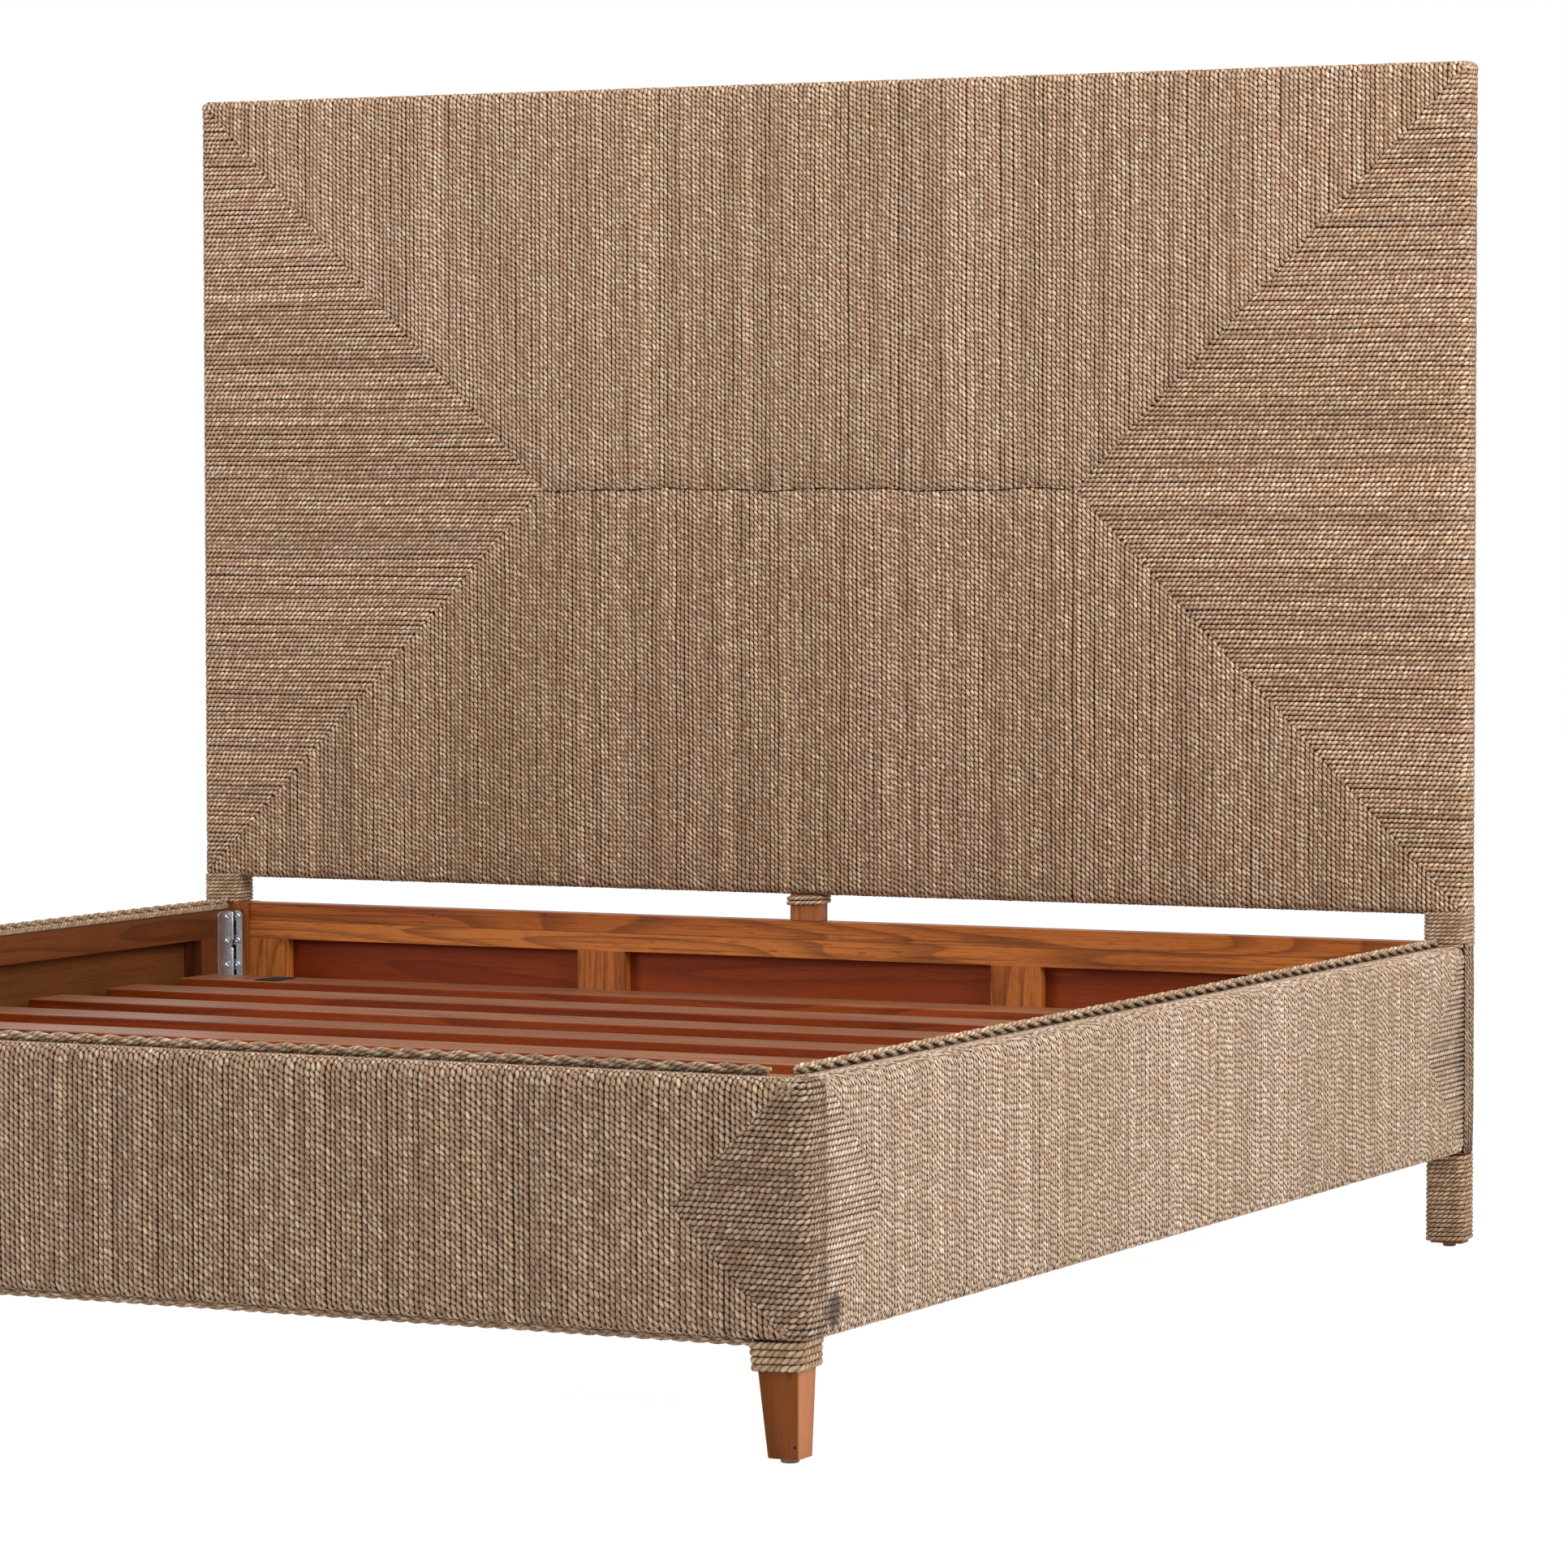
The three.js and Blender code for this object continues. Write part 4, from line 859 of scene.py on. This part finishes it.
collar = wound_rope(*straight_post(0.0, MIDDLE_POST_Y, *MIDDLE_POST), THIN_CORNER, *MIDDLE_COLLAR, 15, 3100)
rope_piece("middle_post_collar", [collar], RUSH["neck"], ["centre_post_collar"])
for label, side in SIDES:
    collar = wound_rope(*tapered_leg(side), THIN_CORNER, *LEG_COLLAR, 21 + side, 3200, rope=COLLAR_ROPE)
    rope_piece("leg_collar_" + label, [collar], RUSH["post"], ["front_leg_collar_" + label])


# Trim cords

def twisted_cord(start, end, strand, lay, seed, first, straight):
    """Two strands twisted round a straight axis: each one's angle grows with the length over the lay.

    straight gives further ropes that run beside the axis without a twist, as (x, y, z, radius)
    with the offset from it. They close the eyes between the strands and the ledge under them.
    A strand's radius shrinks over its last 5 mm to a blunt end.
    """
    start, end = np.asarray(start), np.asarray(end)
    length = np.linalg.norm(end - start)
    steps = int(length / lay * STEPS_A_LAY)
    t = np.linspace(0, 1, steps)
    ahead = (end - start) / length
    level = np.cross(ahead, UP)
    axis = start + t[:, None] * (end - start)
    axis = axis + level * wander(t * length, t * length * 0.3, seed, 0.9 * MM)[:, None]
    uneven = 0.5 * np.sin(t * length * 9 + seed) + 0.3 * np.sin(t * length * 23)
    parts = []
    blunt = 0.7
    for k in range(2):
        angle = 2 * np.pi * (k / 2 - t * length / lay - uneven * 0.1)
        out = np.cos(angle)[:, None] * level + np.sin(angle)[:, None] * UP
        centre = axis + out * strand * 0.9
        forward = np.gradient(centre, axis=0)
        forward /= np.linalg.norm(forward, axis=1, keepdims=True)
        beside = np.cross(forward, out)
        ends = np.minimum(1, np.minimum(t, 1 - t) * length / (5 * MM) + blunt)
        radius = strand * 1.06 * ends
        parts.append(rope_arrays(centre[None], out[None], beside[None], radius[None], first + k,
                                 angle=EIGHT, wide=1.0))
    share = np.linspace(0.002, 0.998, 40)[:, None]
    out = np.broadcast_to(UP, (40, 3))
    beside = np.broadcast_to(level, (40, 3))
    for k, (*place, radius) in enumerate(straight):
        centre = start + share * (end - start) + np.array(place)
        parts.append(rope_arrays(centre[None], out[None], beside[None], np.full((1, 40), radius),
                                 first + 2 + k, angle=EIGHT, wide=1.0))
    return parts


STRAND = 3.0 * MM  # half a strand's thickness
CORD_LAY = 66 * MM
CORD_Z = RAIL_TOP + 5.6 * MM
CORD_INSET = 7.5 * MM  # from the wood's inner face to the cord's axis
CORD_FOOT_GAP = 15 * MM

# Height from the cord's axis and radius of the two straight ropes under each trim cord
FILLERS = ((RAIL_TOP + 0.4 * MM - CORD_Z, 2.8 * MM), (RAIL_TOP - 2.8 * MM - CORD_Z, 3.1 * MM))
for label, side in SIDES:
    x = side * (INNER_HALF + CORD_INSET)
    begin = FOOT_INNER + CORD_FOOT_GAP
    cord = twisted_cord((x, begin, CORD_Z), (x, RAIL_HEAD_END, CORD_Z), STRAND, CORD_LAY, 4 + side,
                        4000 + 4 * side, [(-side * 3.5 * MM, 0, *filler) for filler in FILLERS])
    rope_piece("rail_trim_cord_" + label, cord, RUSH["trim"], ["side_trim_cord_" + label])
    x, z = side * (INNER_HALF + 4.5 * MM), RAIL_LOW - 2 * MM
    bead = twisted_cord((x, LEG_FRONT + 56 * MM, z), (x, RAIL_HEAD_END, z), 2.3 * MM, 40 * MM,
                        9 + side, 4020 + 4 * side, [(0, 0, 2 * MM, 2.7 * MM)])
    rope_piece("rail_lower_cord_" + label, bead, RUSH["trim"])
x, y = INNER_HALF - CORD_FOOT_GAP, FOOT_INNER - CORD_INSET
foot_cord = twisted_cord((-x, y, CORD_Z), (x, y, CORD_Z), STRAND, CORD_LAY, 6, 4030,
                         [(0, 3.5 * MM, *filler) for filler in FILLERS])
rope_piece("footboard_trim_cord", foot_cord, RUSH["trim"], ["foot_trim_cord"])
x, y, z = LEG_OUTER - 60 * MM, FOOT_FRONT + 13 * MM, RAIL_LOW - 1.4 * MM
lower = twisted_cord((-x, y, z), (x, y, z), 2.4 * MM, 44 * MM, 12, 4040, [(0, 1 * MM, 1 * MM, 2.7 * MM)])
rope_piece("footboard_lower_cord", lower, RUSH["trim"])


# Wood

def make_wood_group():
    """Sawn board: growth rings are the contour lines of a noise stretched along the grain, which
    makes long arches, with short dark pores and slow changes of tone over them."""
    tree, (place, seed, rings, wood, dark, pale, coarse), put = new_group(
        "board_grain", Place="Vector", Seed="Float", Rings="Float", Wood="Color", Dark="Color",
        Pale="Color", Coarse="Float")
    x, y, z = split(read(tree, "ShaderNodeVectorMath", {0: place, 1: combine(seed, seed, seed)},
                         operation="ADD"))

    def stretched(along, across, detail=2.0, roughness=0.5):
        """Noise at its own scale along the grain, x, and another one across it."""
        return noise(combine(x * along, y * across, z * across), 1.0, detail, roughness)

    ring = (stretched(1.1, 11.0, 1.5, 0.4) * rings).does("FRACT")
    late = ramp(ring, 0.35, 1.0) * ramp(ring, 1.0, 0.93)
    streak = stretched(5.0, 260.0, 3.0, 0.6)
    pores = ramp(stretched(34.0, 1500.0, 1.0), 0.60, 0.72)
    tone = stretched(0.7, 5.0)
    colour = blended(ramp(tone, 0.35, 0.68), wood, pale)
    colour = blended(late * 0.55, colour, dark)
    colour = blended(ramp(streak, 0.50, 0.30) * 0.45 * coarse, colour, dark)
    link(blended(pores * 0.65 * coarse, colour, dark), put["Color"])
    link(streak * 0.3 - pores * 0.7, put["Height"])
    link(0.36 + pores * 0.25 + tone * 0.14, put["Roughness"])
    return tree


wood_group = make_wood_group()
# Turns that bring an axis of the bed to the grain's x
ALONG = {"x": (0, 0, 0), "y": (0, 0, -math.pi / 2), "z": (0, math.pi / 2, 0)}


def wood_material(name, axis, wood, dark, pale, seed, rings=9.0, upright=None, gloss=0.3, seam=None,
                  front=None, coarse=1.0, holes=()):
    """Wood with its grain along an axis; upright gives two heights between which the boards
    stand, seam the height where two boards are glued together, front a tint for the faces towards
    the foot end that paints shade on them, with less gloss there, and holes the places of nail holes."""
    material, tree, shader = new_material(name)
    wood, dark, pale = srgb(*wood), srgb(*dark), srgb(*pale)
    where = object_place(tree)
    placed = read(tree, "ShaderNodeMapping", {"Vector": where, "Rotation": ALONG[axis]})
    if upright:
        stood = read(tree, "ShaderNodeMapping", {"Vector": where, "Rotation": ALONG["z"],
                                                 "Location": (0.3, 0.7, 0.1)})
        height = split(where)[2]
        inside = height.does("GREATER_THAN", upright[0]) * height.does("LESS_THAN", upright[1])
        placed = read(tree, "ShaderNodeMix", {0: inside, 4: placed, 5: stood}, 1, data_type="VECTOR")
    if seam:
        height = split(where)[2]
        seed = height.does("GREATER_THAN", seam) * 3.3 + seed
        line = ramp((height - seam).does("ABSOLUTE"), 1.1 * MM, 0.2 * MM)
    colour, relief, roughness = use_group(tree, wood_group, Place=placed, Seed=seed, Rings=rings,
                                          Wood=wood, Dark=dark, Pale=pale, Coarse=coarse)
    if seam:
        colour = blended(line * 0.6, colour, dark)
    # painted shade: faces turned towards the foot end are tinted darker, and their gloss is lowered
    if front:
        turned = ramp(split(read(tree, "ShaderNodeTexCoord", output="Normal"))[1], -0.5, -0.9)
        colour = blended(turned, colour, tinted(colour, front))
        link((1.0 - turned * 0.8) * gloss, shader.inputs["Specular IOR Level"])
    for place in holes:
        away = read(tree, "ShaderNodeVectorMath", {0: where, 1: place}, "Value", operation="DISTANCE")
        colour = blended(ramp(away, 1.9 * MM, 1.1 * MM), colour, srgb(30, 16, 8))
    show(shader, colour, roughness, bumped(0.35, 0.3 * MM, relief), gloss)
    return material


RAIL_BOARDS = ((100, 50, 18), (54, 26, 8), (124, 68, 28))
STILES = {"rings": 8.0, "upright": (0.302, 0.373)}
SLAT_TINTS = ((126, 73, 42), (84, 40, 20), (148, 95, 62))
WOOD = {name: wood_material(name, axis, *tints, seed, **others) for name, axis, tints, seed, others in (
    ("oiled_frame", "x", ((154, 78, 26), (78, 32, 8), (190, 112, 50)), 2.1,
     {"rings": 13.0, "upright": (0.3027, 0.3707), "gloss": 0.2, "seam": 0.3985, "coarse": 1.3,
      "holes": ((-0.6255, 1.0335, 0.4151), (-0.4332, 1.0335, 0.4222))}),
    ("lower_panel_wood", "x", ((122, 42, 8), (90, 28, 6), (134, 54, 14)), 5.4, {"rings": 5.0, "gloss": 0.15}),
    ("post_wood", "z", ((142, 70, 24), (84, 36, 10), (168, 96, 40)), 7.7, {}),
    ("middle_post_wood", "z", ((146, 78, 30), (88, 38, 12), (172, 102, 44)), 8.3, {}),
    ("rail_wood", "y", RAIL_BOARDS, 12.9, STILES),
    ("rail_panel_wood", "y", ((100, 54, 22), (70, 34, 12), (112, 64, 28)), 17.3, {"rings": 4.0}),
    ("footboard_wood", "x", RAIL_BOARDS, 21.9, STILES),
    # slats: foot-facing edges tinted deep orange, painted shade from the slats and the footboard in front of
    # them
    *(("slat_wood_%d" % k, "x", SLAT_TINTS, 30.0 + 3.7 * k,
       {"rings": 7.0, "gloss": 0.6, "front": (0.95, 0.42, 0.12, 1.0)}) for k in range(3)),
    # legs: foot-facing faces tinted darker, partly painted shade under the collar and partly the wood's own
    # darker tone
    ("front_leg_wood", "z", ((158, 93, 44), (108, 56, 22), (182, 116, 62)), 41.2,
     {"rings": 8.0, "gloss": 0.35, "front": (0.50, 0.44, 0.42, 1.0), "coarse": 0.5,
      "holes": ((1.0066, -1.0645, 0.0194), (-1.0066, -1.0645, 0.0194))}),
    ("plain_wood", "y", ((160, 120, 82), (112, 78, 48), (186, 148, 106)), 47.0, {}),
    # headboard core: a dark backing seen only in the gaps between ropes, painted shade
    ("painted_shade_core", "x", ((72, 54, 40), (46, 34, 24), (86, 66, 50)), 49.0, {}))}


def softened(cad_name, name, material, width=1.2 * MM):
    """A copy of a solid with its sharp edges rounded."""
    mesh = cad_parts[cad_name].data.copy()
    mesh.materials.clear()
    work = bmesh.new()
    work.from_mesh(mesh)
    bmesh.ops.remove_doubles(work, verts=work.verts, dist=0.02 * MM)
    bmesh.ops.dissolve_limit(work, angle_limit=math.radians(1), verts=work.verts, edges=work.edges)
    work.to_mesh(mesh)
    work.free()
    bevel = add_piece(name, mesh, material, [cad_name]).modifiers.new("edges", "BEVEL")
    bevel.width = width
    bevel.segments = 2
    bevel.limit_method = "ANGLE"
    bevel.angle_limit = math.radians(40)
    bevel.harden_normals = False


def dress(cad_name, material):
    """Give a solid that keeps its shape its material."""
    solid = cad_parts[cad_name]
    solid.data.materials.clear()
    solid.data.materials.append(material)


for label in ("left", "right"):
    softened("head_post_" + label, "post_" + label, WOOD["post_wood"], 1.0 * MM)
    softened("side_rail_frame_" + label, "rail_boards_" + label, WOOD["rail_wood"])
    dress("side_rail_panel_" + label, WOOD["rail_panel_wood"])
    dress("slat_ledge_" + label, WOOD["plain_wood"])
    softened("front_leg_" + label, "leg_" + label, WOOD["front_leg_wood"], 1.5 * MM)
softened("head_lower_frame", "lower_frame_boards", WOOD["oiled_frame"], 1.0 * MM)
softened("centre_post", "middle_post", WOOD["middle_post_wood"], 1.0 * MM)
softened("foot_frame", "footboard_boards", WOOD["footboard_wood"])
# the headboard core gets the dark backing that paints shade in the gaps between ropes
for cad_name, kind in (("head_lower_panel", "lower_panel_wood"), ("foot_panel", "footboard_wood"),
                       ("headboard_core", "painted_shade_core"), ("centre_beam", "plain_wood"),
                       ("beam_leg_1", "plain_wood"), ("beam_leg_2", "plain_wood")):
    dress(cad_name, WOOD[kind])
for k in range(1, 11):
    softened("slat_%d" % k, "slat_board_%d" % k, WOOD["slat_wood_%d" % (k % 3)])


# Metal, plastic and webbing

def zinc_material():
    """Zinc-plated steel: faint spangle and a brushed, slightly uneven gloss."""
    material, tree, shader = new_material("zinc_plate")
    where = object_place(tree)
    spangle = read(tree, "ShaderNodeTexVoronoi", {"Vector": where, "Scale": 260.0}, "Color")
    tone = split(spangle)[0]
    cloud = noise(where, 60.0, 3.0)
    colour = blended(tone, srgb(186, 190, 194), srgb(214, 217, 220))
    show(shader, colour, 0.24 + cloud * 0.22, bumped(0.15, 0.2 * MM, cloud))
    shader.inputs["Metallic"].default_value = 1.0
    return material


def plastic_material():
    """Worn grey-brown plastic, clouded in its colour and its gloss."""
    material, tree, shader = new_material("glide_plastic")
    cloud = noise(object_place(tree), 500.0, 3.0)
    show(shader, blended(cloud, srgb(118, 108, 98), srgb(158, 148, 136)), 0.5 + cloud * 0.2)
    return material


def webbing_material():
    """Black nap webbing: fine ribs across the strap, broken up by fuzz."""
    material, tree, shader = new_material("nap_webbing")
    where = object_place(tree)
    ribs = read(tree, "ShaderNodeTexWave", {"Vector": where, "Scale": 180.0, "Distortion": 1.5}, "Fac",
                bands_direction="Y")
    fuzz = noise(where, 900.0, 3.0)
    show(shader, blended(fuzz, srgb(18, 18, 20), srgb(44, 43, 44)), 0.75 + fuzz * 0.2,
         bumped(0.6, 0.5 * MM, ribs + fuzz), 0.2)
    return material


zinc = zinc_material()
plastic = plastic_material()
webbing = webbing_material()
for label, _ in SIDES:
    for part in ("post_hook_plate_", "rail_hook_plate_", "foot_corner_angle_"):
        softened(part + label, part.replace("_hook", "") + "metal_" + label, zinc, 0.5 * MM)
    dress("head_glide_" + label, plastic)
    dress("front_glide_" + label, plastic)


def grid_piece(name, points, material):
    """A closed skin over a grid (rings, around, 3) whose first and last ring are closed by caps."""
    rings, around = points.shape[:2]
    i, j = np.meshgrid(np.arange(rings - 1), np.arange(around), indexing="ij")
    after = (j + 1) % around
    low, high = i * around, (i + 1) * around
    quads = np.stack([low + j, low + after, high + after, high + j], axis=-1)
    caps = np.stack([np.arange(around)[::-1], (rings - 1) * around + np.arange(around)])
    uv = np.zeros((quads.size + caps.size, 2))
    return add_mesh(name, points.reshape(-1, 3), quads.reshape(-1, 4), caps, uv, material)


def screw_head(name, place, facing, level):
    """A domed head: radius and height run round the dome and into a cross-shaped recess, whose
    rings swell and shrink four times a turn."""
    profile = np.array([[4.3, 0.0], [4.4, 0.5], [3.8, 1.3], [2.7, 1.8], [1.9, 1.95], [1.5, 1.5],
                        [1.1, 0.9]]) * MM
    lobe = np.array([0, 0, 0, 0, 0.05, 0.35, 0.35])
    angle = np.linspace(0, 2 * np.pi, 24, endpoint=False)
    radius = profile[:, :1] * (1 + lobe[:, None] * np.cos(4 * angle))
    facing, level = np.array(facing, float), np.array(level, float)
    third = np.cross(facing, level)
    points = (np.array(place) + facing * profile[:, 1][:, None, None]
              + level * (radius * np.cos(angle))[..., None] + third * (radius * np.sin(angle))[..., None])
    grid_piece(name, points, zinc)


def hook_rib(name, x, y, low, high):
    """Rolled edge of a hook plate: a bar whose radius closes in as a half circle at both ends."""
    radius = 1.9 * MM
    turn = np.linspace(0.12, np.pi / 2, 6)
    rise = np.concatenate([low + radius * (1 - np.cos(turn)), high - radius * (1 - np.cos(turn[::-1]))])
    wide = np.concatenate([radius * np.sin(turn), radius * np.sin(turn[::-1])])
    angle = np.linspace(0, 2 * np.pi, 14, endpoint=False)
    points = np.stack([x + wide[:, None] * np.cos(angle), y + 1.3 * wide[:, None] * np.sin(angle),
                       rise[:, None] + 0 * angle], axis=-1)
    grid_piece(name, points, zinc)


# Places on the right bracket; the left one mirrors them
SCREW_HEIGHTS = (404 * MM, 367 * MM, 330 * MM, 292 * MM)
POST_SCREW_X = 0.9655
RAIL_SCREW_X, RAIL_SCREW_Y = 0.9722, HEAD_FRONT - 0.020
RIB_X, RIB_Y = 0.9712, HEAD_FRONT - 0.0055
RIB_HEIGHTS = ((0.3665, 0.4115), (0.2865, 0.356))  # lower and upper end of each
for label, side in SIDES:
    for k, z in enumerate(SCREW_HEIGHTS):
        screw_head("post_plate_screw_%s_%d" % (label, k + 1), (side * POST_SCREW_X, HEAD_FRONT, z),
                   (0, -1, 0), (1, 0, 0))
        screw_head("rail_plate_screw_%s_%d" % (label, k + 1), (side * RAIL_SCREW_X, RAIL_SCREW_Y, z),
                   (-side, 0, 0), (0, 1, 0))
    for k, (low, high) in enumerate(RIB_HEIGHTS):
        hook_rib("hook_rib_%s_%d" % (label, k + 1), side * RIB_X, RIB_Y, low, high)


def nap_strap(name, x, low, high):
    """A strap that lies across a slat: its middle line arches a little, and its section is a flat
    ellipse with square shoulders."""
    half_width, half_thick = 18 * MM, 0.75 * MM
    along = np.linspace(0, 1, 15)
    angle = np.linspace(0, 2 * np.pi, 20, endpoint=False)
    lift = 0.9 * MM + 0.5 * MM * np.sin(along * np.pi) ** 0.5
    flat = np.sign(np.cos(angle)) * np.abs(np.cos(angle)) ** 0.35
    points = np.stack(np.broadcast_arrays(
        x - half_width * flat, (low + (high - low) * along)[:, None],
        SLAT_TOP + lift[:, None] + half_thick * np.sin(angle)), axis=-1)
    grid_piece(name, points, webbing)


STRAP_X = 0.828
STRAP_ENDS = (0.8795, 0.9395)  # front and back, on the slat nearest the head
for label, side in SIDES:
    nap_strap("nap_strap_" + label, side * STRAP_X, *STRAP_ENDS)


# Floor, light and camera

def stage_material():
    """White floor that keeps a soft shadow, and shows itself white to the camera."""
    material, tree, shader = new_material("studio_floor")
    shader.inputs["Base Color"].default_value = (0.9, 0.9, 0.9, 1)
    shader.inputs["Roughness"].default_value = 0.9
    glow = read(tree, "ShaderNodeEmission", {"Color": (1, 1, 1, 1), "Strength": 1.105})
    seen = read(tree, "ShaderNodeLightPath", output="Is Camera Ray")
    mixed = read(tree, "ShaderNodeMixShader", {0: seen * 0.85, 1: Signal(shader.outputs[0]), 2: glow})
    link(mixed, tree.get_output_node("ALL").inputs[0])
    return material


floor_mesh = bpy.data.meshes.new("studio_floor")
far = 40.0
floor_mesh.from_pydata([(-far, -far, 0), (far, -far, 0), (far, far, 0), (-far, far, 0)], [], [(0, 1, 2, 3)])
floor_mesh.materials.append(stage_material())
floor = bpy.data.objects.new("studio_floor", floor_mesh)
bpy.context.scene.collection.objects.link(floor)

# White sky: full where the camera or a reflection sees it, and weaker as a light
world = bpy.data.worlds.new("studio")
bpy.context.scene.world = world
world.use_nodes = True
tree = world.node_tree
tree.nodes.clear()
path = node(tree, "ShaderNodeLightPath").outputs
seen = (Signal(path["Is Camera Ray"]) + Signal(path["Is Glossy Ray"])).does("MINIMUM", 1.0)
sky = read(tree, "ShaderNodeBackground", {"Color": (1, 1, 1, 1), "Strength": 0.42 + seen * 0.58})
link(sky, tree.nodes.new("ShaderNodeOutputWorld").inputs[0])


def softbox(name, place, target, size, power):
    """A rectangular lamp at a place, turned towards its target."""
    light = bpy.data.lights.new(name, "AREA")
    light.shape = "RECTANGLE"
    light.size, light.size_y = size
    light.energy = power
    lamp = bpy.data.objects.new(name, light)
    lamp.location = place
    lamp.rotation_euler = (Vector(target) - Vector(place)).to_track_quat("-Z", "Y").to_euler()
    bpy.context.scene.collection.objects.link(lamp)


softbox("right_softbox", (5.5, -1.0, 3.2), (0.6, -0.2, 0.4), (3.0, 2.5), 260)
softbox("left_softbox", (-4.5, -5.0, 2.8), (0, 0, 0.6), (3.0, 2.5), 190)
softbox("top_softbox", (0.5, 0.0, 5.0), (0, 0, 0), (4.0, 3.0), 120)

# Camera fitted to the photograph's long edges
CAMERA_PLACE = (3.8817, -6.9588, 1.0646)
FOCAL_LENGTH = 139.45  # mm, for a sensor 36 mm wide
yaw, pitch, roll = (math.radians(a) for a in (26.100, 2.819, -0.051))
forward = Vector((-math.sin(yaw) * math.cos(pitch), math.cos(yaw) * math.cos(pitch), -math.sin(pitch)))
level = Vector((math.cos(yaw), math.sin(yaw), 0))
above = level.cross(forward)
right = math.cos(roll) * level + math.sin(roll) * above
above = math.cos(roll) * above - math.sin(roll) * level
lens = bpy.data.cameras.new("photo_view")
lens.sensor_width = 36.0
lens.lens = FOCAL_LENGTH
lens.clip_end = 100.0
camera = bpy.data.objects.new("photo_view", lens)
turned = Matrix((right, above, -forward)).transposed().to_4x4()
camera.matrix_world = Matrix.Translation(CAMERA_PLACE) @ turned
bpy.context.scene.collection.objects.link(camera)
bpy.context.scene.camera = camera
bpy.context.scene.view_settings.view_transform = "Standard"
